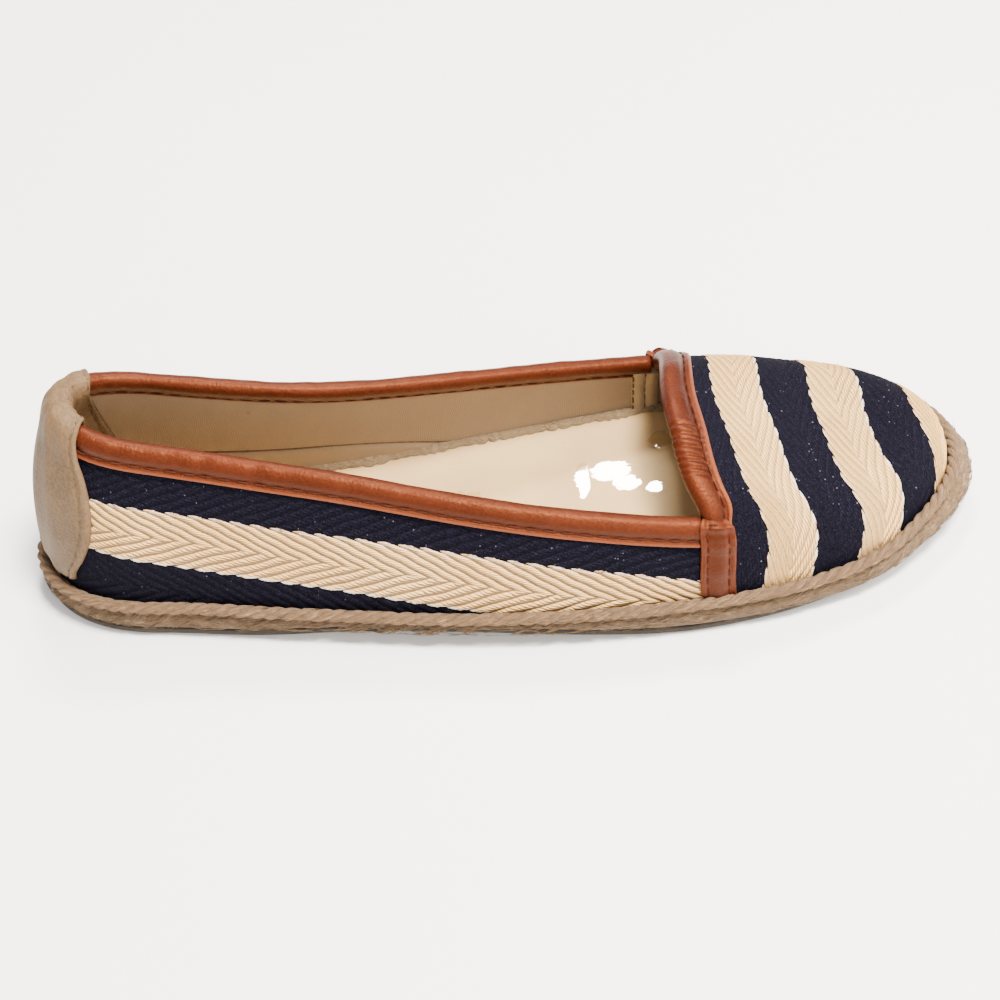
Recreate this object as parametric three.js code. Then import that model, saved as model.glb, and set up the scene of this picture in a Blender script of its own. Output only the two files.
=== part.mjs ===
// Right-foot espadrille with a canvas upper on a jute-wrapped sole. Millimetres, +Z up.
// X runs from the heel to the toe, the outer side of the foot is -Y, and the floor is Z = 0.
import * as THREE from "three";
import { mergeVertices } from "three/addons/utils/BufferGeometryUtils.js";

const SOLE_LENGTH = 255;
const GAP = 0.3;

// Heights of the flat forepart and heel, from the floor up.
const TREAD_TOP = 2.5;
const BODY_BELLY = 5.6;
const BODY_TOP = 8.2;
const ROPE_RADIUS = 1.6;
const FOOT_LINE = 8.5;
const LAST_FOOT = 11;
const INSOLE_THICKNESS = 2.5;

// Toe spring starts at this station and lifts the tip by this much.
const SPRING_START = 173;
const SPRING_LIFT = 5.2;
const SPRING_RUN = SOLE_LENGTH - SPRING_START;

// Insets from the sole outline.
const BODY_INSET = 0.7;
const ROPE_INSET = 1.4;
const UPPER_INSET = 3.3;
const TREAD_INSET = 1.1;
const EDGE_BEVEL = 0.8;
const SPINE_MARGIN = 8;

const WALL = 2.0;
const HEEL_ROUND = 35;
const HEEL_POWER = 2.0;
const TOE_ROUND = 67;
const TOE_POWER = 2.13;

// Sole outline seen from above, as a half width about a curved centre line.
const OUTLINE = [
  { x: 0, half: 28.4, centre: 0.0 },
  { x: 30.6, half: 27.6, centre: -0.5 },
  { x: 76.5, half: 30.9, centre: -4.5 },
  { x: 114.75, half: 36.7, centre: -4.9 },
  { x: 153, half: 40.6, centre: -3.0 },
  { x: 178.5, half: 41.6, centre: -0.7 },
  { x: 204, half: 41.2, centre: 2.5 },
  { x: 229.5, half: 40.6, centre: 6.4 },
  { x: 255, half: 39.6, centre: 8.4 },
];

// How far the cord and the upper stand in from the sole's edge, where the toe bumper swells out.
const SHELF = [
  { x: 0, inset: 0 },
  { x: 200, inset: 0 },
  { x: 225, inset: 0.8 },
  { x: 243, inset: 2.6 },
  { x: 255, inset: 4.4 },
];

// Underside: how far the waist is lifted off the floor, and how far it is drawn in.
const UNDERSIDE = [
  { x: 0, lift: 0, tuck: 0.2 },
  { x: 60, lift: 0, tuck: 0.4 },
  { x: 85, lift: 1.0, tuck: 2.4 },
  { x: 112, lift: 1.6, tuck: 3.0 },
  { x: 138, lift: 0.8, tuck: 1.8 },
  { x: 160, lift: 0, tuck: 0.4 },
  { x: 255, lift: 0, tuck: 0.2 },
];

// Crown: height of the last's ridge line above the foot of the last.
const CROWN = [
  { x: 0, height: 59.6 },
  { x: 90, height: 49.8 },
  { x: 173.2, height: 31.0 },
  { x: 196, height: 24.5 },
  { x: 218.4, height: 17.0 },
  { x: 255, height: 15.6 },
];

// Topline height of the quarters, and how round the section is (small is square, large is slack).
const QUARTER = [
  { x: 0, topline: 49.5, slack: 0.91 },
  { x: 80, topline: 36.7, slack: 1.45 },
  { x: 140, topline: 26.3, slack: 0.82 },
  { x: 173.2, topline: 20.7, slack: 0.54 },
  { x: 255, topline: 10.4, slack: 0.62 },
];
const RISE_POWER = 0.98;
const RIDGE_SHIFT = 0.4;
const THROAT_X = 173.2;

// Stations of the ridge that the heel and the toe lean in towards.
const HEEL_CROWN_X = 30;
const HEEL_FAN_END = 52;
const TOE_FAN_START = 185;
const TOE_POLE_X = 218.4;

// Panel counts: columns along each quarter and each half of the vamp, and rows up the wall.
const QUARTER_COLUMNS = 22;
const VAMP_COLUMNS = 18;
const WALL_ROWS = 4;
const VAMP_ROWS = 5;

// Leather binding folded over the topline, as a section: down the wall, and out from its face.
const FOLD_GAP = 0.4;
const BINDING_SECTION = [
  { down: 6.0, out: FOLD_GAP },
  { down: 6.0, out: 1.1 },
  { down: 3.6, out: 1.6 },
  { down: 1.0, out: 1.6 },
  { down: -1.0, out: 0.8 },
  { down: -1.8, out: -WALL / 2 },
  { down: -1.0, out: -WALL - 0.5 },
  { down: 1.0, out: -WALL - 1.1 },
  { down: 3.6, out: -WALL - 1.1 },
  { down: 6.0, out: -WALL - 0.9 },
  { down: 6.0, out: -WALL - FOLD_GAP },
  { down: 3.0, out: -WALL - FOLD_GAP },
  { down: -FOLD_GAP, out: -WALL - FOLD_GAP },
  { down: -FOLD_GAP, out: FOLD_GAP },
  { down: 3.0, out: FOLD_GAP },
];
const THROAT_SECTION = BINDING_SECTION.map(({ down, out }) => ({
  down: down > 0 ? down * 1.2 : down,
  out,
}));
const BINDING_END_X = THROAT_X - 3.2;
const CORNER_ROW = 0.02;

// Leather strip that covers the joint of quarter and vamp on each side.
const STRIP_BACK_X = THROAT_X - 1.2;
const STRIP_FRONT_X = THROAT_X + 7.6;
const STRIP_FOOT_HEIGHT = 12.2;
const STRIP_THICKNESS = 1.0;

// Heel patch folded over the topline: its section, and how far forward its front edge reaches.
const PATCH_GAP = 0.5;
const PATCH_SECTION = [
  { down: 46, inner: PATCH_GAP, outer: 1.3, reach: 11 },
  { down: 32, inner: PATCH_GAP, outer: 1.5, reach: 15 },
  { down: 18, inner: PATCH_GAP, outer: 1.6, reach: 18 },
  { down: 10, inner: PATCH_GAP, outer: 1.7, reach: 18 },
  { down: 7, inner: 1.2, outer: 2.4, reach: 17.3 },
  { down: 2.5, inner: 2.0, outer: 3.0, reach: 16 },
  { down: -1.4, inner: 1.4, outer: 2.2, reach: 14.5 },
  { down: -2.6, inner: -WALL / 2, outer: -WALL / 2, reach: 14 },
  { down: -1.4, inner: -WALL - 1.0, outer: -WALL - 1.8, reach: 13.5 },
  { down: 2.5, inner: -WALL - 1.5, outer: -WALL - 2.5, reach: 14 },
  { down: 7, inner: -WALL - 1.2, outer: -WALL - 2.3, reach: 16 },
  { down: 10, inner: -WALL - PATCH_GAP, outer: -WALL - 1.7, reach: 17.3 },
  { down: 20, inner: -WALL - PATCH_GAP, outer: -WALL - 1.5, reach: 20 },
  { down: 34, inner: -WALL - PATCH_GAP, outer: -WALL - 1.5, reach: 23 },
];
const PATCH_ROLL_DOWN = -2.6;
const PATCH_ROLL_THICKNESS = 1.0;
const PATCH_COLUMNS = 14;

// Value of a table column at x: a smooth curve through the rows.
function along(table, column, x) {
  const last = table.length - 1;
  let i = 0;
  while (i < last - 1 && x > table[i + 1].x) i += 1;
  const slope = (k) => (table[k + 1][column] - table[k][column]) / (table[k + 1].x - table[k].x);
  const tangent = (k) => {
    if (k === 0) return slope(0);
    if (k === last) return slope(last - 1);
    const before = table[k].x - table[k - 1].x;
    const after = table[k + 1].x - table[k].x;
    return (slope(k - 1) * after + slope(k) * before) / (before + after);
  };
  const span = table[i + 1].x - table[i].x;
  const t = THREE.MathUtils.clamp((x - table[i].x) / span, 0, 1);
  return hermite(t, span, table[i][column], tangent(i), table[i + 1][column], tangent(i + 1));
}

function hermite(t, span, start, startSlope, end, endSlope) {
  const t2 = t * t;
  const t3 = t2 * t;
  return (2 * t3 - 3 * t2 + 1) * start + (t3 - 2 * t2 + t) * span * startSlope
    + (3 * t2 - 2 * t3) * end + (t3 - t2) * span * endSlope;
}

const roundEnd = (t, power) => (1 - (1 - THREE.MathUtils.clamp(t, 0, 1)) ** power) ** (1 / power);

// Round the shoe: u goes 0 to 1 from the heel by the outer side to the toe and back.
const stationOf = (u) => (1 - Math.cos(2 * Math.PI * u)) / 2 * SOLE_LENGTH;
const sideOf = (u) => (Math.sin(2 * Math.PI * u) >= 0 ? -1 : 1);
const shareOf = (x) => Math.acos(1 - 2 * x / SOLE_LENGTH) / (2 * Math.PI);
const centreAt = (x) => along(OUTLINE, "centre", x);

function turnAt(x) {
  const from = Math.max(x - 4, 0);
  const to = Math.min(x + 4, SOLE_LENGTH);
  return Math.atan2(centreAt(to) - centreAt(from), to - from);
}

function outlinePoint(u) {
  const x = stationOf(u);
  const half = along(OUTLINE, "half", x) * sideOf(u)
    * roundEnd(x / HEEL_ROUND, HEEL_POWER) * roundEnd((SOLE_LENGTH - x) / TOE_ROUND, TOE_POWER);
  const turn = turnAt(x);
  return new THREE.Vector2(x - Math.sin(turn) * half, centreAt(x) + Math.cos(turn) * half);
}

// Point of the outline moved inwards, square to it.
function rimPoint(u, inset) {
  const step = 0.001;
  const run = outlinePoint(u + step).sub(outlinePoint(u - step)).normalize();
  return outlinePoint(u).add(new THREE.Vector2(-run.y, run.x).multiplyScalar(inset));
}

function springAt(x) {
  const t = Math.max(x - SPRING_START, 0) / SPRING_RUN;
  return SPRING_LIFT * t * t;
}

// Ridge station that the wall at x leans towards.
function ridgeStation(x) {
  if (x < HEEL_FAN_END) {
    return hermite(x / HEEL_FAN_END, HEEL_FAN_END, HEEL_CROWN_X, 0, HEEL_FAN_END, 1);
  }
  if (x > TOE_FAN_START) {
    const run = SOLE_LENGTH - TOE_FAN_START;
    return hermite((x - TOE_FAN_START) / run, run, TOE_FAN_START, 1, TOE_POLE_X, 0);
  }
  return x;
}

const shelfAt = (x) => Math.max(along(SHELF, "inset", x), 0);
const lastFootAt = (x) => LAST_FOOT + springAt(x);
const ridgeHeightAt = (x) => lastFootAt(x) + along(CROWN, "height", x);

// Outer face of the upper: u round the shoe, v from 0 at the foot of the last to 1 on its ridge.
function lastPoint(u, v) {
  const x = stationOf(u);
  const foot = rimPoint(u, UPPER_INSET + shelfAt(x));
  const xr = ridgeStation(x);
  const turn = turnAt(xr);
  const ridgeX = xr - Math.sin(turn) * RIDGE_SHIFT;
  const ridgeY = centreAt(xr) + Math.cos(turn) * RIDGE_SHIFT;
  const angle = v * Math.PI / 2;
  const inward = 1 - Math.max(Math.cos(angle), 0) ** along(QUARTER, "slack", x);
  const rise = Math.sin(angle) ** RISE_POWER;
  const slope = (ridgeHeightAt(xr + 2) - ridgeHeightAt(xr - 2)) / 4;
  const sag = slope * (ridgeX - foot.x) * inward * inward * (inward - 1);
  return new THREE.Vector3(
    foot.x + (ridgeX - foot.x) * inward,
    foot.y + (ridgeY - foot.y) * inward,
    lastFootAt(x) * (1 - rise) + ridgeHeightAt(xr) * rise + sag,
  );
}

// The outward direction of the upper's outer face.
function lastNormal(u, v) {
  if (v > 0.999) {
    const xr = ridgeStation(stationOf(u));
    const turn = turnAt(xr);
    const slope = (ridgeHeightAt(xr + 2) - ridgeHeightAt(xr - 2)) / 4;
    const run = new THREE.Vector3(Math.cos(turn), Math.sin(turn), slope);
    return run.cross(new THREE.Vector3(-Math.sin(turn), Math.cos(turn), 0)).normalize();
  }
  const step = 0.002;
  const low = Math.max(v - step, 0);
  const round = lastPoint(u + step, v).sub(lastPoint(u - step, v));
  const up = lastPoint(u, v + step).sub(lastPoint(u, low));
  return round.cross(up).normalize();
}

const skinPoint = (u, v, out) => lastPoint(u, v).addScaledVector(lastNormal(u, v), out);

// The foot of the wall, below v = 0, where it stands straight up.
function footPoint(u, height, out) {
  const rim = rimPoint(u, UPPER_INSET + shelfAt(stationOf(u)) - out);
  return new THREE.Vector3(rim.x, rim.y, height + springAt(stationOf(u)));
}

// v of the topline at u, or of the line that carries it on round the vamp.
function toplineShare(u) {
  const x = stationOf(u);
  const share = along(QUARTER, "topline", x) / along(CROWN, "height", ridgeStation(x));
  return Math.asin(THREE.MathUtils.clamp(share, 0, 1) ** (1 / RISE_POWER)) / (Math.PI / 2);
}

// Point near the topline: a distance down the wall from it, and out from the wall's outer face.
function toplinePoint(u, down, out) {
  const top = toplineShare(u);
  const edge = lastPoint(u, top);
  const below = lastPoint(u, top - 0.01);
  const perShare = edge.distanceTo(below) / 0.01;
  if (down <= 0) {
    const up = edge.clone().sub(below).normalize();
    return skinPoint(u, top, out).addScaledVector(up, -down);
  }
  let share = Math.max(top - down / perShare, 0);
  for (let k = 0; k < 3; k += 1) {
    const gone = edge.distanceTo(lastPoint(u, share));
    share = Math.max(share + (gone - down) / perShare, 0);
  }
  return skinPoint(u, share, out);
}

// Closed mesh from a grid of points: rows of equal length, wrapped round in either direction.
function gridSolid(rows, { wrapRows = false, wrapColumns = false, capRows = false } = {}) {
  const count = rows[0].length;
  const points = rows.flat();
  const at = (r, c) => (r % rows.length) * count + (c % count);
  const faces = [];
  const rowSteps = wrapRows ? rows.length : rows.length - 1;
  const columnSteps = wrapColumns ? count : count - 1;
  for (let r = 0; r < rowSteps; r += 1) {
    for (let c = 0; c < columnSteps; c += 1) {
      faces.push([at(r, c), at(r, c + 1), at(r + 1, c + 1)]);
      faces.push([at(r, c), at(r + 1, c + 1), at(r + 1, c)]);
    }
  }
  if (capRows) {
    const outline = capRows.map((p) => new THREE.Vector2(p.down, p.out));
    const turned = THREE.ShapeUtils.isClockWise(outline);
    const end = (rows.length - 1) * count;
    for (const triangle of THREE.ShapeUtils.triangulateShape(outline, [])) {
      const clockwise = THREE.ShapeUtils.isClockWise(triangle.map((k) => outline[k]));
      const [a, b, c] = clockwise === turned ? triangle : triangle.reverse();
      faces.push([c, b, a], [end + a, end + b, end + c]);
    }
  }
  return closedGeometry(points, faces);
}

// Geometry with shared corners merged and collapsed faces dropped, turned to face outwards.
function closedGeometry(points, faces) {
  const geometry = new THREE.BufferGeometry();
  geometry.setAttribute("position", new THREE.Float32BufferAttribute(points.flatMap((p) => p.toArray()), 3));
  geometry.setIndex(faces.flat());
  const merged = mergeVertices(geometry, 0.001);
  const index = merged.getIndex();
  const kept = [];
  let volume = 0;
  const [a, b, c] = [new THREE.Vector3(), new THREE.Vector3(), new THREE.Vector3()];
  for (let i = 0; i < index.count; i += 3) {
    const [p, q, r] = [index.getX(i), index.getX(i + 1), index.getX(i + 2)];
    if (p === q || q === r || r === p) continue;
    kept.push([p, q, r]);
    a.fromBufferAttribute(merged.attributes.position, p);
    b.fromBufferAttribute(merged.attributes.position, q);
    c.fromBufferAttribute(merged.attributes.position, r);
    volume += a.dot(b.cross(c));
  }
  merged.setIndex((volume > 0 ? kept : kept.map(([p, q, r]) => [r, q, p])).flat());
  merged.computeVertexNormals();
  return merged;
}

// Shares round the shoe of every column, with one column exactly on each end of the throat.
const THROAT_U = shareOf(THROAT_X);
const OUTER_SHARES = [
  ...Array.from({ length: QUARTER_COLUMNS }, (_, k) => THROAT_U * k / QUARTER_COLUMNS),
  ...Array.from({ length: VAMP_COLUMNS + 1 }, (_, k) => THROAT_U + (0.5 - THROAT_U) * k / VAMP_COLUMNS),
];
const ROUND_SHARES = [...OUTER_SHARES, ...OUTER_SHARES.slice(1, -1).reverse().map((u) => 1 - u)];
const VAMP_SHARES = ROUND_SHARES.filter((u) => stationOf(u) > THROAT_X - 0.001);
const QUARTER_SHARES = [
  ...OUTER_SHARES.slice(1, QUARTER_COLUMNS).reverse().map((u) => 1 - u - 1),
  ...OUTER_SHARES.slice(0, QUARTER_COLUMNS),
];

// Slab with the sole's outline: loops from the middle of the top, over the edge, to the middle below.
function slab(loops) {
  const spine = ({ inset, height }) => ROUND_SHARES.map((u) => {
    const from = inset(0) + SPINE_MARGIN;
    const to = SOLE_LENGTH - inset(SOLE_LENGTH) - SPINE_MARGIN;
    const x = THREE.MathUtils.clamp(stationOf(u), from, to);
    return new THREE.Vector3(x, centreAt(x), height(x));
  });
  const ring = ({ inset, height }) => ROUND_SHARES.map((u) => {
    const rim = rimPoint(u, inset(stationOf(u)));
    return new THREE.Vector3(rim.x, rim.y, height(stationOf(u)));
  });
  const rows = [spine(loops[0]), ...loops.map(ring), spine(loops[loops.length - 1])];
  return gridSolid(rows, { wrapColumns: true });
}

const raised = (height) => (x) => height + springAt(x);
const lifted = (height) => (x) => height + springAt(x) + Math.max(along(UNDERSIDE, "lift", x), 0);
const tucked = (inset) => (x) => inset + Math.max(along(UNDERSIDE, "tuck", x), 0);
const shelved = (inset, share = 1) => (x) => inset + shelfAt(x) * share;

function outsole() {
  return slab([
    { inset: tucked(TREAD_INSET), height: lifted(TREAD_TOP) },
    { inset: tucked(TREAD_INSET), height: lifted(EDGE_BEVEL) },
    { inset: tucked(TREAD_INSET + EDGE_BEVEL), height: lifted(0) },
  ]);
}

function juteBody() {
  return slab([
    { inset: shelved(BODY_INSET + EDGE_BEVEL), height: raised(BODY_TOP) },
    { inset: shelved(BODY_INSET, 0.5), height: raised(BODY_TOP - EDGE_BEVEL) },
    { inset: shelved(BODY_INSET, 0), height: raised(BODY_BELLY) },
    { inset: tucked(BODY_INSET), height: lifted(TREAD_TOP + GAP + EDGE_BEVEL) },
    { inset: tucked(BODY_INSET + EDGE_BEVEL), height: lifted(TREAD_TOP + GAP) },
  ]);
}

function insole() {
  const inset = UPPER_INSET + WALL + GAP;
  return slab([
    { inset: shelved(inset + EDGE_BEVEL), height: raised(FOOT_LINE + INSOLE_THICKNESS) },
    { inset: shelved(inset), height: raised(FOOT_LINE + INSOLE_THICKNESS - EDGE_BEVEL) },
    { inset: shelved(inset), height: raised(FOOT_LINE) },
  ]);
}

// Cord stitched round the top edge of the sole, as one plain ring.
function juteRope() {
  const sides = 7;
  const rows = Array.from({ length: sides }, (_, k) => {
    const angle = 2 * Math.PI * k / sides;
    const height = FOOT_LINE + ROPE_RADIUS + ROPE_RADIUS * Math.sin(angle);
    return ROUND_SHARES.map((u) => {
      const x = stationOf(u);
      const rim = rimPoint(u, ROPE_INSET + shelfAt(x) + ROPE_RADIUS * Math.cos(angle));
      return new THREE.Vector3(rim.x, rim.y, height + springAt(x));
    });
  });
  return gridSolid(rows, { wrapRows: true, wrapColumns: true });
}

// Hollow upper: one wall round the foot, open at the topline, the throat and underneath.
function upper() {
  const points = [];
  const faces = [];
  const place = (point) => points.push(point) - 1;
  const quad = (a, b, c, d) => faces.push([a, b, c], [a, c, d]);
  const wallRow = (row, out) => (u) => {
    if (row === 0) return footPoint(u, FOOT_LINE, out);
    return skinPoint(u, toplineShare(u) * (row - 1) / WALL_ROWS, out);
  };
  const faceGrid = (out) => {
    const wall = Array.from({ length: WALL_ROWS + 2 }, (_, row) => {
      const rowPoint = wallRow(row, out);
      return ROUND_SHARES.map((u) => place(rowPoint(u)));
    });
    const vamp = Array.from({ length: VAMP_ROWS + 1 }, (_, row) => VAMP_SHARES.map((u) => {
      const top = toplineShare(u);
      return place(skinPoint(u, top + (1 - top) * row / VAMP_ROWS, out));
    }));
    return { wall, vamp };
  };
  const outside = faceGrid(0);
  const inside = faceGrid(-WALL);
  const count = ROUND_SHARES.length;
  for (let c = 0; c < count; c += 1) {
    const next = (c + 1) % count;
    for (let r = 0; r <= WALL_ROWS; r += 1) {
      quad(outside.wall[r][c], outside.wall[r][next], outside.wall[r + 1][next], outside.wall[r + 1][c]);
      quad(inside.wall[r][next], inside.wall[r][c], inside.wall[r + 1][c], inside.wall[r + 1][next]);
    }
    quad(inside.wall[0][c], inside.wall[0][next], outside.wall[0][next], outside.wall[0][c]);
    const open = !(VAMP_SHARES.includes(ROUND_SHARES[c]) && VAMP_SHARES.includes(ROUND_SHARES[next]));
    const top = WALL_ROWS + 1;
    if (open) quad(outside.wall[top][c], outside.wall[top][next], inside.wall[top][next], inside.wall[top][c]);
  }
  const end = VAMP_SHARES.length - 1;
  for (let r = 0; r < VAMP_ROWS; r += 1) {
    for (let c = 0; c < end; c += 1) {
      quad(outside.vamp[r][c], outside.vamp[r][c + 1], outside.vamp[r + 1][c + 1], outside.vamp[r + 1][c]);
      quad(inside.vamp[r][c + 1], inside.vamp[r][c], inside.vamp[r + 1][c], inside.vamp[r + 1][c + 1]);
    }
    quad(outside.vamp[r][0], outside.vamp[r + 1][0], inside.vamp[r + 1][0], inside.vamp[r][0]);
    quad(outside.vamp[r + 1][end], outside.vamp[r][end], inside.vamp[r][end], inside.vamp[r + 1][end]);
  }
  return closedGeometry(points, faces);
}

function collarBinding() {
  const end = shareOf(BINDING_END_X);
  const shares = [-end, ...QUARTER_SHARES.filter((u) => Math.abs(u) < end - 0.002), end];
  const rows = shares.map((u) => BINDING_SECTION.map(({ down, out }) => toplinePoint(u, down, out)));
  return gridSolid(rows, { wrapColumns: true, capRows: BINDING_SECTION });
}

// Binding over the throat edge, from one corner over the ridge to the other.
function vampBinding() {
  const top = toplineShare(THROAT_U);
  const steps = 2 * VAMP_ROWS;
  const rows = [];
  for (let k = 0; k <= 2 * steps; k += 1) {
    const climb = k <= steps ? k / steps : 2 - k / steps;
    const share = THREE.MathUtils.lerp(top + CORNER_ROW, 1, climb);
    const side = k <= steps ? 1 : -1;
    rows.push(THROAT_SECTION.map(({ down, out }) => {
      const u = shareOf(THROAT_X + down);
      return skinPoint(side > 0 ? u : 1 - u, share, out);
    }));
  }
  return gridSolid(rows, { wrapColumns: true, capRows: THROAT_SECTION });
}

// Flat leather strip from the corner of the throat down to the cord, on one side.
function sideStrip(side) {
  const top = toplineShare(THROAT_U);
  const stations = [STRIP_BACK_X, THROAT_X, THROAT_X + 3.8, STRIP_FRONT_X];
  const column = (x, out) => {
    const u = side > 0 ? shareOf(x) : 1 - shareOf(x);
    const points = [footPoint(u, STRIP_FOOT_HEIGHT, out)];
    for (let row = 1; row <= WALL_ROWS; row += 1) {
      points.push(skinPoint(u, top * row / WALL_ROWS - (row === WALL_ROWS ? CORNER_ROW : 0), out));
    }
    return points;
  };
  const loops = [
    ...stations.map((x) => column(x, GAP)),
    ...stations.reverse().map((x) => column(x, GAP + STRIP_THICKNESS)),
  ];
  const count = loops[0].length;
  const points = loops.flat();
  const faces = [];
  for (let c = 0; c < loops.length; c += 1) {
    const next = (c + 1) % loops.length;
    for (let r = 0; r < count - 1; r += 1) {
      faces.push([c * count + r, next * count + r, next * count + r + 1]);
      faces.push([c * count + r, next * count + r + 1, c * count + r + 1]);
    }
  }
  for (let c = 0; c < 3; c += 1) {
    const [a, b] = [c, c + 1];
    const [d, e] = [7 - c, 6 - c];
    for (const [row, flip] of [[0, true], [count - 1, false]]) {
      const corners = [a, b, e, d].map((k) => k * count + row);
      const ordered = flip ? corners.reverse() : corners;
      faces.push([ordered[0], ordered[1], ordered[2]], [ordered[0], ordered[2], ordered[3]]);
    }
  }
  return closedGeometry(points, faces);
}

// Heel patch: a thick sheet that starts outside, folds over the bound topline and ends inside.
function heelPatch() {
  const face = (key, lift) => PATCH_SECTION.map((row) => (
    Array.from({ length: PATCH_COLUMNS + 1 }, (_, k) => {
      const reach = shareOf(row.reach);
      const u = THREE.MathUtils.lerp(-reach, reach, k / PATCH_COLUMNS);
      const down = row.down === PATCH_ROLL_DOWN ? row.down - lift : row.down;
      return toplinePoint(u, down, row[key]);
    })
  ));
  const near = face("inner", 0);
  const far = face("outer", PATCH_ROLL_THICKNESS);
  const rows = near.length;
  const count = near[0].length;
  const points = [...near.flat(), ...far.flat()];
  const inner = (r, c) => r * count + c;
  const outer = (r, c) => (rows + r) * count + c;
  const faces = [];
  const quad = (a, b, c, d) => faces.push([a, b, c], [a, c, d]);
  for (let r = 0; r < rows - 1; r += 1) {
    for (let c = 0; c < count - 1; c += 1) {
      quad(inner(r, c), inner(r + 1, c), inner(r + 1, c + 1), inner(r, c + 1));
      quad(outer(r, c), outer(r, c + 1), outer(r + 1, c + 1), outer(r + 1, c));
    }
    quad(inner(r, 0), outer(r, 0), outer(r + 1, 0), inner(r + 1, 0));
    quad(inner(r, count - 1), inner(r + 1, count - 1), outer(r + 1, count - 1), outer(r, count - 1));
  }
  for (let c = 0; c < count - 1; c += 1) {
    quad(inner(0, c), inner(0, c + 1), outer(0, c + 1), outer(0, c));
    quad(inner(rows - 1, c), outer(rows - 1, c), outer(rows - 1, c + 1), inner(rows - 1, c + 1));
  }
  return closedGeometry(points, faces);
}

const RUBBER = { color: 0x4a4038, roughness: 0.85, metalness: 0 };
const JUTE = { color: 0xb89463, roughness: 0.95, metalness: 0 };
const CANVAS = { color: 0x2d3350, roughness: 0.95, metalness: 0 };
const TAN_LEATHER = { color: 0xa9642f, roughness: 0.5, metalness: 0 };
const CREAM_LEATHER = { color: 0xe6dcc6, roughness: 0.5, metalness: 0 };
const PATENT = { color: 0xe9dfc8, roughness: 0.2, metalness: 0 };

const PIECES = [
  { name: "outsole", geometry: outsole(), look: RUBBER },
  { name: "jute_body", geometry: juteBody(), look: JUTE },
  { name: "jute_rope", geometry: juteRope(), look: JUTE },
  { name: "insole", geometry: insole(), look: PATENT },
  { name: "upper", geometry: upper(), look: CANVAS },
  { name: "collar_binding", geometry: collarBinding(), look: TAN_LEATHER },
  { name: "vamp_binding", geometry: vampBinding(), look: TAN_LEATHER },
  { name: "side_strip_outer", geometry: sideStrip(1), look: TAN_LEATHER },
  { name: "side_strip_inner", geometry: sideStrip(-1), look: TAN_LEATHER },
  { name: "heel_patch", geometry: heelPatch(), look: CREAM_LEATHER },
];

const shoe = new THREE.Group();
for (const { name, geometry, look } of PIECES) {
  const mesh = new THREE.Mesh(geometry, new THREE.MeshStandardMaterial(look));
  mesh.name = name;
  shoe.add(mesh);
}
const box = new THREE.Box3().setFromObject(shoe);
shoe.position.set(-(box.min.x + box.max.x) / 2, -(box.min.y + box.max.y) / 2, -box.min.z);
shoe.updateMatrixWorld(true);

export default shoe;
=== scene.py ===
import math

import bpy
import numpy as np
from mathutils import Matrix, Vector


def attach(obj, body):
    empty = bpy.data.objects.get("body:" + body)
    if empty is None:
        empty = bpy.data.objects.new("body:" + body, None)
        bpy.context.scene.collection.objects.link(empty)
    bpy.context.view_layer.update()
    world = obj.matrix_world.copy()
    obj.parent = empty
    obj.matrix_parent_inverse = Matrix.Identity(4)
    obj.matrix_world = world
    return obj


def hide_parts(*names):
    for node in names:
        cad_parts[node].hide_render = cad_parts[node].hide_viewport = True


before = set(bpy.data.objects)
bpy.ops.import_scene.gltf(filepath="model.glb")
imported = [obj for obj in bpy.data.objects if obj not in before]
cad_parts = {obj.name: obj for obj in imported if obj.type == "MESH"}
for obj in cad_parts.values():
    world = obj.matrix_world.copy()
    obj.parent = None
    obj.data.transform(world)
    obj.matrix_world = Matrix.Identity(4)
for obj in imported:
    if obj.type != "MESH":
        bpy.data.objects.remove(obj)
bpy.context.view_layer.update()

# Millimetres in the shoe's own frame: X from the heel to the toe, -Y the outer side, Z up from the floor.
# SHIFT carries that frame to the row frame.
SHIFT = np.array([-127.146, 0.5995, 0.0])
LENGTH = 255.0
WALL = 2.0                   # thickness of the upper
THROAT = 173.2               # where the opening ends and the vamp begins
UPPER_INSET = 3.3            # from the sole's outline in to the foot of the upper
ROPE_INSET = 1.4
ROPE_RADIUS = 1.6
FOOT_LINE = 8.5              # under side of the rope
LAST_FOOT = 11.0             # where the upper's shape starts; below it the wall stands straight down
FOOT_DEPTH_PER_V = 50.0      # of that straight wall, for one unit of v below 0
RIDGE_SHIFT = 0.4
RISE_POWER = 0.98
# The lines up the upper fan out round the heel and the toe, and meet on the ridge between these places.
HEEL_FAN, TOE_FAN, HEEL_CROWN, TOE_POLE = 52.0, 185.0, 30.0, 218.4
HEEL_CAP, TOE_CAP = 35.0, 67.0      # lengths over which the outline closes

# The tables below go along the shoe, each after the stations in X that it is given at.
# The sole's outline: its half width, and how far its middle lies off Y = 0.
OUTLINE_X = [0, 30.6, 76.5, 114.75, 153, 178.5, 204, 229.5, 255]
HALF_WIDTH = [28.4, 27.6, 30.9, 36.7, 40.6, 41.6, 41.2, 40.6, 39.6]
CENTRE_LINE = [0, -0.5, -4.5, -4.9, -3.0, -0.7, 2.5, 6.4, 8.4]
# How far the upper and the rope step in from the outline at the toe.
SHELF_X, SHELF = [0, 200, 225, 243, 255], [0, 0, 0.8, 2.6, 4.4]
# The hollow under the waist, and how far the sole's side tucks in there.
UNDER_X = [0, 60, 85, 112, 138, 160, 255]
UNDER_LIFT = [0, 0, 1.0, 1.6, 0.8, 0, 0]
UNDER_TUCK = [0.2, 0.4, 2.4, 3.0, 1.8, 0.4, 0.2]
# Height of the upper's ridge above its foot.
CROWN_X, CROWN = [0, 90, 173.2, 196, 218.4, 255], [59.6, 49.8, 31.0, 24.5, 17.0, 15.6]
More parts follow.
